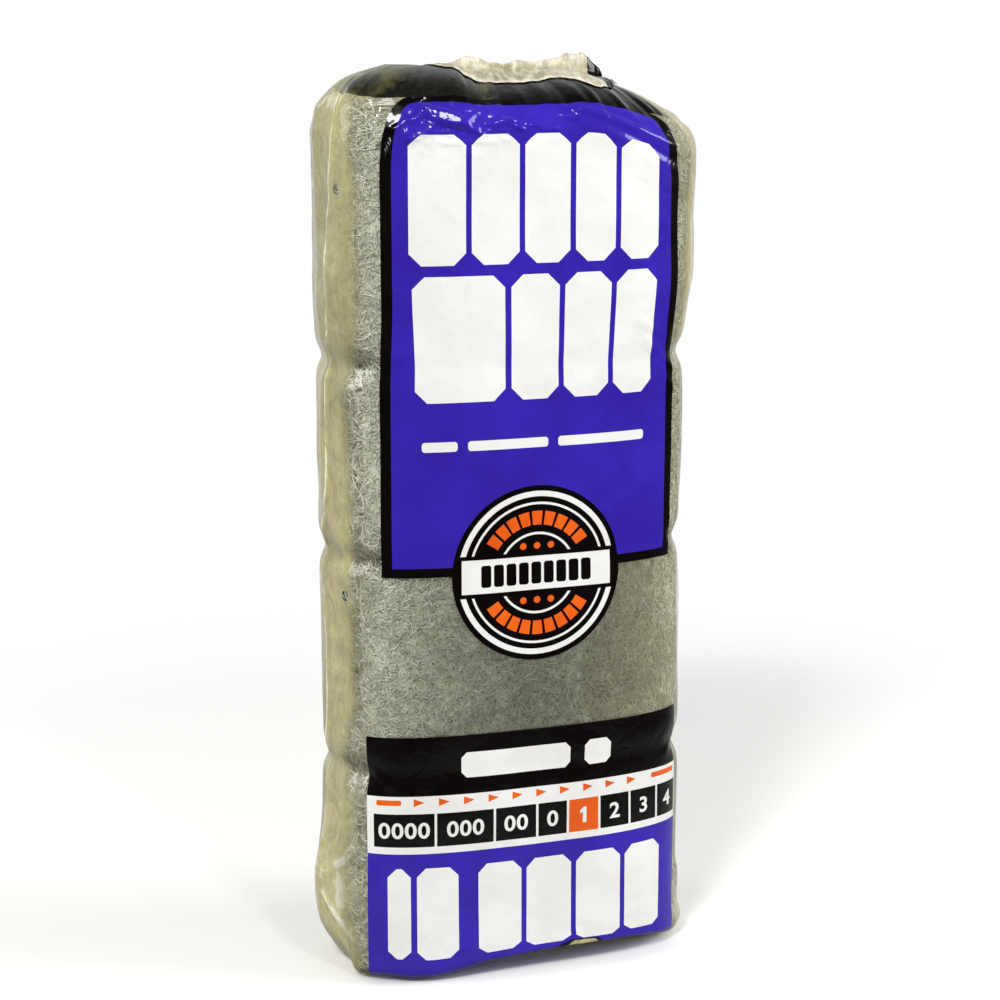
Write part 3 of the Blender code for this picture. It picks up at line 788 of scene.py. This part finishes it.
class WoolSettings(bpy.types.PropertyGroup):
    """Steel wool pads and their loose strands."""
    wool_colour: colour("Wool", "Middle tone of the wool", "#C8CBB4")
    # Dark gaps in the wool are painted shade
    painted_gap_shade: colour("Gaps", "Dark gaps in the wool", "#868A76")
    bright_colour: colour("Bright strands", "Bright strands in the mat", "#FAFCEA")
    # Light and dark strand tones are painted glints and painted shade
    strand_light: colour("Strand, light", "Light tone of a strand", "#FFFFF2")
    strand_dark: colour("Strand, dark", "Dark tone of a strand", "#D0D3BE")
    front_strands: number("Strands in front", "Curled strands behind the clear front", 8800, 0, 16000)
    side_strands: number("Strands at the sides", "Curled strands behind the gussets", 2500, 0, 16000)
    back_strands: number("Strands at the back", "Curled strands behind the back", 4500, 0, 16000)
    strand_width: number("Strand width, mm", "Width of a curled strand", 0.31, 0.04, 0.5)


class StageSettings(bpy.types.PropertyGroup):
    """Floor, lights and camera."""
    floor_colour: colour("Floor", "Floor colour", "#FAFAF8")
    floor_bounce: colour("Floor's bounce", "Floor colour that lights the bag from below", "#A8A8A6")
    fill: number("Surrounding light", "Strength of the even light", 0.45, 0, 2)
    key: number("Key light, W", "Power of the key light", 13.2, 0, 200)
    lens: number("Lens, mm", "Focal length on a 36 mm sensor", 88.9, 20, 300)


# Operators


# Where the clear film gives way to the hazy gusset on the left, as t and the way round
CLEAR_EDGE = np.array([(0, 50), (25, 50.4), (37, 52.3), (55, 52), (66, 56.4), (85, 53), (115, 53.2),
                       (158, 54), (172, 54.6), (186, 50.9), (192, 49.4), (228, 49), (244, 50.6), (280, 52)])


def haze_of(s, t):
    """Share of the film that is hazy: the folded gussets, their creases, a haze over the shoulder, the curled
    foot, the back's single folds, a painted sheen that grows towards the right of the front, and little over
    the rest."""
    way = np.abs(s)
    edge = np.interp(t, CLEAR_EDGE[:, 0], CLEAR_EDGE[:, 1]) + 0.8 * noise(t / 7 + 20, s * 0 + 3.5, 17)
    edge = np.where(s > 0, edge - 2.5, edge)
    soft = 7 + 5 * smooth_step((76 - t) / 20)
    rear = 2 * CREASE_S - 43 - way + 4 * noise(t / 16 + 20, s * 0 + 6.5, 28)
    gusset = smooth_step((way - edge + 1.5) / soft) * smooth_step(rear / 17)
    gusset *= 0.76 + 0.13 * noise(s / 9 + 30, t / 16, 18) - 0.1 * smooth_step((t - 150) / 90)
    gusset *= 1 - 0.5 * np.exp(-((way - 56) / 4.5) ** 2 - ((t - 26) / 13) ** 2)
    crease = 0.5 * crease_nearness(s, t, 0.9) * (0.45 + 0.55 * smooth_step((170 - t) / 60))
    shoulder = 0.6 * smooth_step((t - SHOULDER - 2) / 22)
    curl = 0.95 * np.exp(-((s - 15) / 8) ** 2 - ((t - 2) / 5) ** 2)
    # The share that grows towards the right of the front, up to 0.15, is a painted sheen
    veil_and_sheen = 0.03 + curl + 0.15 * smooth_step((s - 5) / 35) * (way < 90) + 0.05 * smooth_step((way - 45) / 5)
    veil_and_sheen += 0.55 * fold_nearness(s, t) * smooth_step((way - 80) / 6)
    return np.clip(np.maximum(np.maximum(gusset, shoulder), np.maximum(veil_and_sheen, crease)), 0, 0.97)


def fold_nearness(s, t):
    """1 on the crests of the single folds of the sides and back, falling off to their width."""
    folds = np.zeros(np.shape(s))
    for fold in FOLDS[(np.abs(FOLDS[:, 0]) > 52) & (FOLDS[:, 4] > 0)]:
        _, beside = fold_places(s, t, fold)
        wide = fold[5]
        folds = np.maximum(folds, np.exp(-(beside / wide) ** 2) * min(1, 0.6 / wide))
    return folds


def paleness_of(s, t):
    """How pale the haze is: paler on creases and fold crests, where the paleness is a painted highlight, low
    down, and on the right.
    """
    low = 0.32 * (1 - smooth_step((t - 10) / 110))
    low += 0.45 * smooth_step((s - 46) / 6) * smooth_step((100 - s) / 20)
    # Paler on the crease and on fold crests: a painted highlight
    return np.clip(0.3 + low + 0.5 * np.maximum(0.6 * crease_nearness(s, t, 0.9), fold_nearness(s, t))
                   + 0.14 * noise(s / 5 + 20, t / 30, 19), 0, 1)


def cut_film(grid, loops):
    """Points and triangles over a flat grid, with an edge along every loop."""
    points, edges, first = [grid], [], len(grid)
    for loop in loops:
        numbers = np.arange(len(loop)) + first
        edges.append(np.stack([numbers, np.roll(numbers, -1)], 1))
        points.append(loop)
        first += len(loop)
    points = np.concatenate(points)
    points[:, 1] = np.clip(points[:, 1], 0, FILM_TOP)
    flat, _, triangles, *_ = delaunay_2d_cdt([Vector(point) for point in points.tolist()],
                                             np.concatenate(edges).tolist(), [], 0, 1e-4, False)
    return np.array([tuple(point) for point in flat]), np.array(triangles)


def mark(mesh, name, values):
    """Keeps one number for each point of a mesh, for its material to read."""
    attribute = mesh.attributes.new(name, "FLOAT", "POINT")
    attribute.data.foreach_set("value", np.asarray(values, np.float32).ravel())


def use_materials(mesh, numbers):
    """Number of the material of each face."""
    mesh.polygons.foreach_set("material_index", numbers.astype(np.int32).ravel())


def lay_map(mesh, flat):
    """UV map named film, from each point's flat place in units of 100 mm."""
    corners = np.empty(len(mesh.loops), np.int32)
    mesh.loops.foreach_get("vertex_index", corners)
    mesh.uv_layers.new(name="film").data.foreach_set("uv", (flat[corners] / 100).astype(np.float32).ravel())


class WOOLPACK_OT_film(bpy.types.Operator):
    """Film bag with its printed fields and vent holes"""
    bl_idname = "woolpack.film"
    bl_label = "Film bag"

    def execute(self, context):
        settings = context.scene.film_settings
        step = settings.spacing
        fine = 0.66 * step
        front = np.concatenate([np.arange(-FRONT_REACH, CRUMPLE_LEFT, step),
                                np.arange(CRUMPLE_LEFT, CRUMPLE_RIGHT, fine),
                                np.arange(CRUMPLE_RIGHT, FRONT_REACH + step / 2, step)])
        side = np.linspace(front[-1], 2 * CREASE_S, SIDE_POINTS)[1:]
        columns = np.concatenate([-side[::-1], front, side])
        lower, upper = round((CRUMPLE_FOOT - FOOT_RADIUS) / step), round((FILM_TOP - CRUMPLE_FOOT) / fine)
        rows = np.concatenate([np.linspace(0, FOOT_RADIUS, 5)[:-1],
                               np.linspace(FOOT_RADIUS, CRUMPLE_FOOT, lower)[:-1],
                               np.linspace(CRUMPLE_FOOT, FILM_TOP, upper)])
        across, up = np.meshgrid(columns, rows)
        shapes = print_shapes()
        vents = [disc(s, t, VENT_RADIUS, VENT_SIDES) for s, t in VENTS]
        loops = [cut_into(loop, PRINT_STEP) for _, group in shapes for loop in group] + vents
        flat, triangles = cut_film(np.stack([across.ravel(), up.ravel()], 1), loops)
        triangles = triangles[~inside(flat[triangles].mean(1), vents)]
        middles = flat[triangles].mean(1)
        inks = ("clear", *INK_SHADES, "thin")
        ink = np.zeros(len(triangles), int)
        for name, group in shapes:
            ink[inside(middles, group)] = inks.index(name)
        materials = [clear_film_material(settings.haze_light, settings.haze_dark, settings.crease)]
        materials += [ink_material(name + " flexo ink under film", getattr(settings, name), shade)
                      for name, shade in INK_SHADES.items()]
        materials.append(ink_material("thin black ink on hazy film", "#83834E", "#0D0B08", 0.94))
        piece = add_mesh("film_wall", film_point(flat[:, 0], flat[:, 1]), triangles, materials)
        mesh = piece.data
        use_materials(mesh, ink)
        mark(mesh, "haze", haze_of(flat[:, 0], flat[:, 1]))
        mark(mesh, "paleness", paleness_of(flat[:, 0], flat[:, 1]))
        lay_map(mesh, flat)
        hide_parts("film_bag")
        self.close_bottom(materials[0], materials[1], columns)
        return {"FINISHED"}

    def close_bottom(self, material, ink, columns):
        """Bottom from the film's lowest ring: runs from the front to the back, with low lumps."""
        front = columns[np.abs(columns) <= CREASE_S + 1e-6]
        shares = np.linspace(0, 1, BOTTOM_ROWS)[:, None]
        near = smooth_film(front, np.zeros(len(front)))
        back = near * (1, -1, 1)
        points = near * (1 - shares[..., None]) + back * shares[..., None]
        lift = 0.5 * np.abs(noise(points[..., 0] / 9 + 20, points[..., 1] / 7 + 20, 14))
        inner = smooth_step(4 * shares * (1 - shares) * 3)
        points[..., 2] = foot_rise(points[..., 0], points[..., 1], 0) + lift * inner
        faces = grid_faces(BOTTOM_ROWS, len(front))[:, ::-1]
        piece = add_mesh("film_bottom", points.reshape(-1, 3), faces, [material, ink])
        blue = (np.abs(points[:-1, :-1, 0]) < -PRINT_LEFT) & (points[:-1, :-1, 1] < -17)
        use_materials(piece.data, blue)
        mark(piece.data, "haze", np.full(points.shape[:2], 0.85))
        mark(piece.data, "paleness", np.full(points.shape[:2], 0.8))
        lay_map(piece.data, points.reshape(-1, 3)[:, :2])


# Height of the gathered seal over the ridge, and its lower edge on the front, each read by x
SEAL_HEIGHT = np.array([(-28, 0.2), (-24, 1.2), (-17, 2.5), (-10.3, 4.9), (-5, 2.9), (1, 2.5), (3.5, 3.4),
                        (9, 2.7), (15, 3.6), (19, 5.3), (23, 6.6), (26, 5.8), (28.5, 4.2), (32, 2.2),
                        (35, 0.8), (37, 0.2)]).T
SEAL_EDGE = np.array([(-28, 2), (-24, 5.5), (-16, 9.5), (-8, 12.5), (1, 12), (10, 9.5), (16, 11),
                      (23, 15), (27, 12), (31, 6), (37, 0.5)]).T
SEAL_COLUMNS = 330
SEAL_ROWS = 45


class WOOLPACK_OT_seal(bpy.types.Operator):
    """Gathered end seal over the top of the bag"""
    bl_idname = "woolpack.seal"
    bl_label = "End seal"

    def execute(self, context):
        """A sleeve that climbs the front of the shoulder on the film, stands up past the ridge
        and comes down behind. Its height and its lower edge are read from tables in x, and
        pleats with sharp crests throw it forward and back."""
        x, v = np.meshgrid(np.linspace(SEAL_LEFT, SEAL_RIGHT, SEAL_COLUMNS), np.linspace(0, 1, SEAL_ROWS))
        height = np.interp(x, *SEAL_HEIGHT) * (1 + 0.12 * noise(x / 1.7 + 20, x * 0 + 2.5, 24))
        front = np.interp(x, *SEAL_EDGE) * (1 + 0.06 * noise(x / 2.6 + 20, x * 0 + 7.5, 25))
        behind = np.interp(x, (SEAL_LEFT, -16, 26, SEAL_RIGHT), (0.5, 7, 9, 0.5))
        behind = behind * (1 + 0.12 * noise(x / 3 + 20, x * 0 + 4.5, 27))
        down = np.where(v < 0.5, front * (1 - v / 0.42), behind * (v - 0.58) / 0.42)
        sway = noise(x / 6 + 20, v * 2 + 3, 21)
        pleat = (1 - 2.6 * np.abs(noise((x + 3 * sway) / 3.1 + 20, v * 2.5 + 3, 22))) * 0.75 + 0.5 * sway
        ends = smooth_step((x - SEAL_LEFT) / 6) * smooth_step((SEAL_RIGHT - x) / 6)
        open_share = np.interp(v, (0, 0.08, 0.5, 0.92, 1), (0.1, 0.7, 1, 0.7, 0.1))
        lift = 0.3 + (0.25 + np.abs(pleat)) * ends * open_share
        _, width, _ = profile(FILM_TOP - np.maximum(down, 0))
        s = np.interp(x * RIDGE_HALF_WIDTH / width, *self.ridge())
        way = np.where(v <= 0.5, s, np.sign(s) * 2 * CREASE_S - s)
        points = film_point(way, FILM_TOP - np.maximum(down, 0.01), lift)
        ridge = smooth_film(s, np.full(x.shape, FILM_TOP))
        stand = smooth_step(1 - np.abs(v - 0.5) / 0.17)
        thrown = 1.25 * pleat * ends + (v - 0.5) * (2 + 9 * ends)
        upright = ridge + np.stack([0.5 * sway * ends, thrown, stand * height], -1)
        points = points * (1 - stand[..., None]) + upright * stand[..., None]
        points[..., 2] = np.minimum(points[..., 2], SEAL_TOP)
        settings = context.scene.film_settings
        # The third colour is the pale crease line's, a painted highlight
        materials = [clear_film_material("#D2C9A6", "#A4A17C", "#E6E0CA"),
                     ink_material("black ink on the fold", settings.black, INK_SHADES["black"])]
        piece = add_mesh("film_seal", points.reshape(-1, 3), grid_faces(SEAL_ROWS, SEAL_COLUMNS), materials)
        black = x[:-1, :-1] + 1.5 * sway[:-1, :-1] > 25.5
        use_materials(piece.data, black)
        crumple = np.abs(noise(x / 2.1 + 20, v * 8 + 3, 26))
        rim = np.exp(-(v / 0.035) ** 2) + 0.5 * np.exp(-((v - 0.5) / 0.05) ** 2)
        mark(piece.data, "haze", np.clip(0.84 - 0.32 * crumple + 0.4 * rim, 0, 0.97))
        mark(piece.data, "paleness", np.clip(0.78 - 0.3 * crumple + 0.3 * rim, 0, 1))
        lay_map(piece.data, np.stack([x, v * 30], -1).reshape(-1, 2))
        return {"FINISHED"}

    @staticmethod
    def ridge():
        """The ridge's x at a list of ways s, for reading the way from an x."""
        s = np.linspace(-CREASE_S, CREASE_S, 800)
        return smooth_film(s, np.full(800, FILM_TOP))[:, 0], s


def roll_outline(pad_height):
    """Section of one pad: a strip that runs up the back, over the top, down the front, and turns
    back up inside itself, as (depth, height) from the pad's middle."""
    strip = (PAD_THICKNESS - 2 * SLOT) / 3
    edges = [-PAD_THICKNESS / 2]
    for step in (strip, SLOT, strip, SLOT, strip):
        edges.append(edges[-1] + step)
    front, front_in, tongue_front, tongue_back, back_in, back = edges
    top, bottom = pad_height / 2, -pad_height / 2
    turn_foot, turn_head = bottom + LOW_TURN, top - TOP_TURN
    over = np.radians(np.linspace(0, 180, 15))
    under = np.radians(np.linspace(180, 360, 12))
    tongue_top = top - strip - TONGUE_SHORTFALL
    parts = [
        np.stack([back * np.cos(over), turn_head + TOP_TURN * np.sin(over)], 1),
        np.stack([(front + tongue_back) / 2 + (tongue_back - front) / 2 * np.cos(under),
                  turn_foot + LOW_TURN * np.sin(under)], 1),
        np.array([(tongue_back, tongue_top), (tongue_front, tongue_top), (tongue_front, turn_foot),
                  (front_in, turn_foot), (front_in, turn_head), (0, top - strip), (back_in, turn_head),
                  (back_in, turn_foot), (back_in, bottom + FREE_EDGE), ((back_in + back) / 2, bottom),
                  (back, bottom + FREE_EDGE), (back, turn_foot)]),
    ]
    loop = np.concatenate(parts)
    # The outer run is cut every 2 mm. Its cutting also follows the chord that closes the run,
    # which leaves a slanting sheet inside the roll.
    outer = len(over) + len(under)
    return np.concatenate([cut_into(loop[:outer], 2.0)[:-1], loop[outer:]])


class WOOLPACK_OT_pads(bpy.types.Operator):
    """Sixteen rolled pads of steel wool"""
    bl_idname = "woolpack.pads"
    bl_label = "Pads"

    def execute(self, context):
        material = wool_material(context.scene.wool_settings)
        for row in range(4):
            for layer in range(LAYERS):
                self.pad(row, layer, material)
        return {"FINISHED"}

    def pad(self, row, layer, material):
        """One pad: its rolled section carried across the bag and pressed to the film's shape."""
        reach = 0.9 if layer in (0, LAYERS - 1) else INNER_REACH
        stations = np.linspace(-reach, reach, PAD_STATIONS)
        depth, height = roll_outline(ROW_HEIGHTS[row]).T
        level = ROW_FEET[row] + ROW_HEIGHTS[row] / 2 + height
        middle = (layer - (LAYERS - 1) / 2) * (PAD_THICKNESS + PAD_CLEARANCE)
        share = (middle + depth) / STACK_HALF_DEPTH
        _, width, half_depth = profile(np.where(level > SHOULDER, self.shoulder_way(level), level))
        width, half_depth = width - WALL_OFFSET, half_depth - WALL_OFFSET
        across = stations[:, None]
        narrowing = (1 - np.abs(across) ** POWER) ** (1 / POWER)
        y = half_depth * share * narrowing ** (np.abs(share) ** 1.5)
        points = settled(np.broadcast_to(across, y.shape), width, y, np.broadcast_to(level, y.shape))
        lump = noise(points[..., 0] / 4 + 40, points[..., 2] / 3.2 + 5, 31 + row * 4 + layer)
        outer = np.abs(share) > 0.95
        points[..., 1] -= np.sign(y) * outer * (0.16 + 0.16 * lump)
        count = len(level)
        faces = grid_faces(len(stations), count, True).tolist()
        last = (len(stations) - 1) * count
        faces += [tuple(range(count - 1, -1, -1)), tuple(range(last, last + count))]
        name = f"pad_row{row + 1}_layer{layer + 1}"
        piece = add_mesh(name + "_wool", points.reshape(-1, 3), faces, [material])
        piece.data.set_sharp_from_angle(angle=math.radians(50))
        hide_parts(name)

    @staticmethod
    def shoulder_way(level):
        """Way up the film at which the shoulder, set in by the wall, reaches a level."""
        rise = np.arcsin(np.clip((level - SHOULDER) / (RISE - WALL_OFFSET), 0, 1))
        return SHOULDER + SHOULDER_SPAN * rise / (np.pi / 2)


def strand_paths(s, t, seed, segments=6):
    """Curled paths in the film's (s, t, lift): each turns at its own changing rate, so that it
    loops and waves, and bows up towards the film and back."""
    random = np.random.default_rng(seed)
    count = len(s)
    length = np.exp(random.uniform(np.log(1.4), np.log(7.5), count))
    turn = random.normal(0, 1, count) * 0.38 * length
    wave, phase = random.uniform(0.03, 0.12, count) * length, random.uniform(0, 2 * np.pi, count)
    start = random.uniform(0, 2 * np.pi, count)
    share = np.linspace(0, 1, segments + 1)
    heading = start[:, None] + turn[:, None] * share + wave[:, None] * np.sin(phase[:, None] + 5 * share)
    step = (length / segments)[:, None]
    move = np.stack([np.cos(heading), np.sin(heading)], -1) * step[..., None]
    way = np.cumsum(move, axis=1) - move[:, :1]
    depth = random.uniform(0.29, 0.62, count)[:, None] + 0.25 * np.abs(2 * share - 1) ** 2
    return s[:, None] + way[..., 0], t[:, None] + way[..., 1], -depth


def tubes(paths, width):
    """Closed three-sided tubes along paths of shape (number, points, 3), thinner to their ends."""
    number, points, _ = paths.shape
    along = np.gradient(paths, axis=1)
    along /= np.maximum(np.linalg.norm(along, axis=-1, keepdims=True), 1e-9)
    beside = np.cross(along, np.array([0.31, 0.52, 0.79]))
    beside /= np.maximum(np.linalg.norm(beside, axis=-1, keepdims=True), 1e-9)
    third = np.cross(along, beside)
    taper = np.interp(np.linspace(0, 1, points), (0, 0.15, 0.85, 1), (0.4, 1, 1, 0.4))[None, :, None, None]
    angles = np.radians([0, 120, 240])
    ring = beside[:, :, None] * np.cos(angles)[:, None] + third[:, :, None] * np.sin(angles)[:, None]
    vertices = paths[:, :, None] + ring * width[:, None, None, None] * taper / 2
    side = grid_faces(points, 3, True)
    first = (np.arange(number) * points * 3)[:, None, None]
    quads = (side[None] + first).reshape(-1, 4)
    ends = np.array([(0, 2, 1), ((points - 1) * 3, (points - 1) * 3 + 1, (points - 1) * 3 + 2)])
    caps = (ends[None] + first).reshape(-1, 3)
    return vertices.reshape(-1, 3), quads.tolist() + caps.tolist()


# Where strands start: share of their number, span of s and span of t
WINDOW_ZONES = ((1.0, (-53, 53), (74, 124)),)
EDGE_ZONES = ((0.42, (-57, -44), (120, 262)), (0.06, (-62, -45), (170, 190)), (0.34, (43, 57), (120, 262)),
              (0.05, (45, 60), (170, 190)), (0.13, (-57, -49), (3, 76)))
SIDE_ZONES = ((0.5, (-90, -52), (4, 258)), (0.5, (52, 90), (4, 258)))
BACK_ZONES = ((0.5, (-138, -86), (4, 262)), (0.5, (86, 138), (4, 262)))


class WOOLPACK_OT_strands(bpy.types.Operator):
    """Loose curls of steel just behind the clear film"""
    bl_idname = "woolpack.strands"
    bl_label = "Loose strands"

    def execute(self, context):
        settings = context.scene.wool_settings
        material = strand_material(settings)
        random = np.random.default_rng(77)
        for name, count, seed, zones in (
                ("strands_window", settings.front_strands // 2, 101, WINDOW_ZONES),
                ("strands_edges", settings.front_strands // 2, 104, EDGE_ZONES),
                ("strands_sides", settings.side_strands, 102, SIDE_ZONES),
                ("strands_back", settings.back_strands, 103, BACK_ZONES)):
            s, t = self.scatter(random, count, zones)
            self.add(context, name, s, t, material, seed)
        return {"FINISHED"}

    @staticmethod
    def scatter(random, count, zones):
        """Starting places, shared out among zones of (share, (s, s), (t, t))."""
        parts = [(random.uniform(*wide, round(count * share)), random.uniform(*tall, round(count * share)))
                 for share, wide, tall in zones]
        return (np.concatenate(values) for values in zip(*parts))

    def add(self, context, name, s, t, material, seed):
        """One piece of many strands, held within the film's edges."""
        s, t, lift = strand_paths(s, t, seed)
        t = np.clip(t, 1.5, FILM_TOP - 8)
        paths = film_point(s, t, np.broadcast_to(lift, s.shape))
        # Painted light and shade: a random tone for each strand, the brightest as painted glints
        tone = np.random.default_rng(seed + 5).uniform(0, 1, len(s)) ** 1.5
        points, faces = tubes(paths, (0.55 + 0.85 * tone) * context.scene.wool_settings.strand_width)
        piece = add_mesh(name, points, faces, [material])
        mark(piece.data, "tone", np.repeat(tone, paths.shape[1] * 3))


# Camera: turn and tilt in degrees, the rest in metres
VIEW_TURN = 20
VIEW_TILT = 11.67
VIEW_DISTANCE = 0.7267
VIEW_SHIFT = -0.00078
VIEW_HEIGHT = 0.13668
# Lamps: name, place and size in metres, and power as a share of the key light's
LAMPS = (("key", (-0.75, -0.95, 1.15), 0.34, 1.0),
         ("small", (0.09, -0.85, 0.97), 0.13, 0.13),
         ("soft", (1.4, -0.6, 0.75), 0.8, 1.25),
         ("left", (-1.2, 0.1, 0.5), 0.6, 0.33),
         ("behind", (-0.5, 1.3, 0.75), 0.4, 0.05))
LAMP_AIM = Vector((0, 0, 0.13))
# Rings of the floor in metres, and the middle of its fading
FLOOR_RINGS = np.array([0.2, 0.5, 0.8, 1.2])
FLOOR_SIDES = 96
FADE_MIDDLE = (0.03, 0.09, 0)


class WOOLPACK_OT_stage(bpy.types.Operator):
    """Pale floor, studio light and camera"""
    bl_idname = "woolpack.stage"
    bl_label = "Stage"

    def execute(self, context):
        settings = context.scene.stage_settings
        self.floor(settings)
        self.world(context, settings)
        self.lamps(settings)
        turn, tilt = math.radians(VIEW_TURN), math.radians(VIEW_TILT)
        aim = Vector((VIEW_SHIFT * math.cos(turn), -VIEW_SHIFT * math.sin(turn), VIEW_HEIGHT))
        away = Vector((-math.sin(turn) * math.cos(tilt), -math.cos(turn) * math.cos(tilt), math.sin(tilt)))
        data = bpy.data.cameras.new("camera")
        data.lens, data.sensor_width, data.clip_start = settings.lens, 36, 0.01
        camera = bpy.data.objects.new("camera", data)
        camera.location = aim + away * VIEW_DISTANCE
        camera.rotation_euler = (-away).to_track_quat("-Z", "Y").to_euler()
        context.collection.objects.link(camera)
        context.scene.camera = camera
        context.scene.view_settings.view_transform = "Standard"
        return {"FINISHED"}

    def floor(self, settings):
        """Round floor of matt white paper whose rim fades into the white surroundings."""
        turns = np.linspace(0, 2 * np.pi, FLOOR_SIDES + 1)[:-1]
        ring = np.stack([np.cos(turns), np.sin(turns), turns * 0], 1)
        points = (FLOOR_RINGS[:, None, None] * ring[None]).reshape(-1, 3)
        mesh = bpy.data.meshes.new("floor")
        faces = grid_faces(len(FLOOR_RINGS), FLOOR_SIDES, True)[:, ::-1].tolist()
        mesh.from_pydata(points.tolist(), [], faces + [tuple(range(FLOOR_SIDES))])
        nodes = Shading(bpy.data.materials.new("matt white paper"))
        place = nodes.object_place()
        grain = nodes.bump(nodes.noise(place, 900.0, 2.0, dimensions="3D"), 0.05, 0.0002)
        tone = nodes.add("Mix", {"Factor": nodes.add("LightPath").outputs["Is Camera Ray"],
                                 "A": linear(settings.floor_bounce), "B": linear(settings.floor_colour)},
                         data_type="RGBA")
        paper = nodes.shader("BsdfDiffuse", {"Color": tone.outputs["Result"], "Normal": grain})
        moved = nodes.add("VectorMath", {0: place, 1: FADE_MIDDLE}, operation="SUBTRACT")
        length = nodes.add("VectorMath", {0: moved.outputs["Vector"]}, operation="LENGTH")
        fade = nodes.span(length.outputs["Value"], 0.17, 0.36, course="SMOOTHSTEP")
        mesh.materials.append(nodes.surface(nodes.mix(fade, paper, nodes.shader("BsdfTransparent"))))
        floor = bpy.data.objects.new("floor", mesh)
        bpy.context.collection.objects.link(floor)

    def world(self, context, settings):
        """White where it is seen straight on or through film, dimmer in front of the bag."""
        nodes = Shading(bpy.data.worlds.new("studio"))
        path = nodes.add("LightPath").outputs
        seen = nodes.math("MAXIMUM", path["Is Camera Ray"], path["Is Transmission Ray"])
        parts = nodes.add("SeparateXYZ", {0: nodes.add("TexCoord").outputs["Generated"]})
        behind = nodes.span(parts.outputs["Y"], -0.1, 0.9, 0.04, 0.65, "SMOOTHSTEP")
        mirrored = nodes.math("MULTIPLY", behind, path["Is Glossy Ray"])
        plain = nodes.math("SUBTRACT", 1.0, path["Is Glossy Ray"])
        even = nodes.math("MULTIPLY_ADD", plain, settings.fill, mirrored)
        strength = nodes.math("MAXIMUM", even, seen)
        context.scene.world = nodes.surface(
            nodes.shader("Background", {"Color": (1, 1, 1, 1), "Strength": strength}))

    def lamps(self, settings):
        """Key light from the upper left, a small one in front for crisp glints, wide soft ones
        beside the bag, and a weak one behind it."""
        for name, place, size, share in LAMPS:
            data = bpy.data.lights.new(name, "AREA")
            data.shape, data.size, data.energy = "DISK", size, settings.key * share
            lamp = bpy.data.objects.new(name, data)
            lamp.location = place
            lamp.rotation_euler = (LAMP_AIM - Vector(place)).to_track_quat("-Z", "Y").to_euler()
            bpy.context.collection.objects.link(lamp)


class WOOLPACK_PT_panel(bpy.types.Panel):
    """Buttons for the pieces of the wool pack"""
    bl_label = "Wool pack"
    bl_space_type = "VIEW_3D"
    bl_region_type = "UI"
    bl_category = "Wool pack"

    def draw(self, context):
        for operator in OPERATORS:
            self.layout.operator(operator.bl_idname)
        for group in ("film_settings", "wool_settings", "stage_settings"):
            column = self.layout.column(align=True)
            settings = getattr(context.scene, group)
            for name in settings.__annotations__:
                column.prop(settings, name)


GROUPS = {"film_settings": FilmSettings, "wool_settings": WoolSettings, "stage_settings": StageSettings}
OPERATORS = (WOOLPACK_OT_stage, WOOLPACK_OT_film, WOOLPACK_OT_seal, WOOLPACK_OT_pads, WOOLPACK_OT_strands)


def register():
    """Adds the classes and the scene's settings."""
    for item in (*GROUPS.values(), *OPERATORS, WOOLPACK_PT_panel):
        bpy.utils.register_class(item)
    for name, group in GROUPS.items():
        setattr(bpy.types.Scene, name, bpy.props.PointerProperty(type=group))


def unregister():
    """Takes the classes and the scene's settings away again."""
    for name in GROUPS:
        delattr(bpy.types.Scene, name)
    for item in (WOOLPACK_PT_panel, *reversed(OPERATORS), *reversed(GROUPS.values())):
        bpy.utils.unregister_class(item)


def main():
    """Registers the classes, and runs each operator."""
    register()
    for operator in OPERATORS:
        group, name = operator.bl_idname.split(".")
        getattr(getattr(bpy.ops, group), name)()


if __name__ == "__main__":
    main()
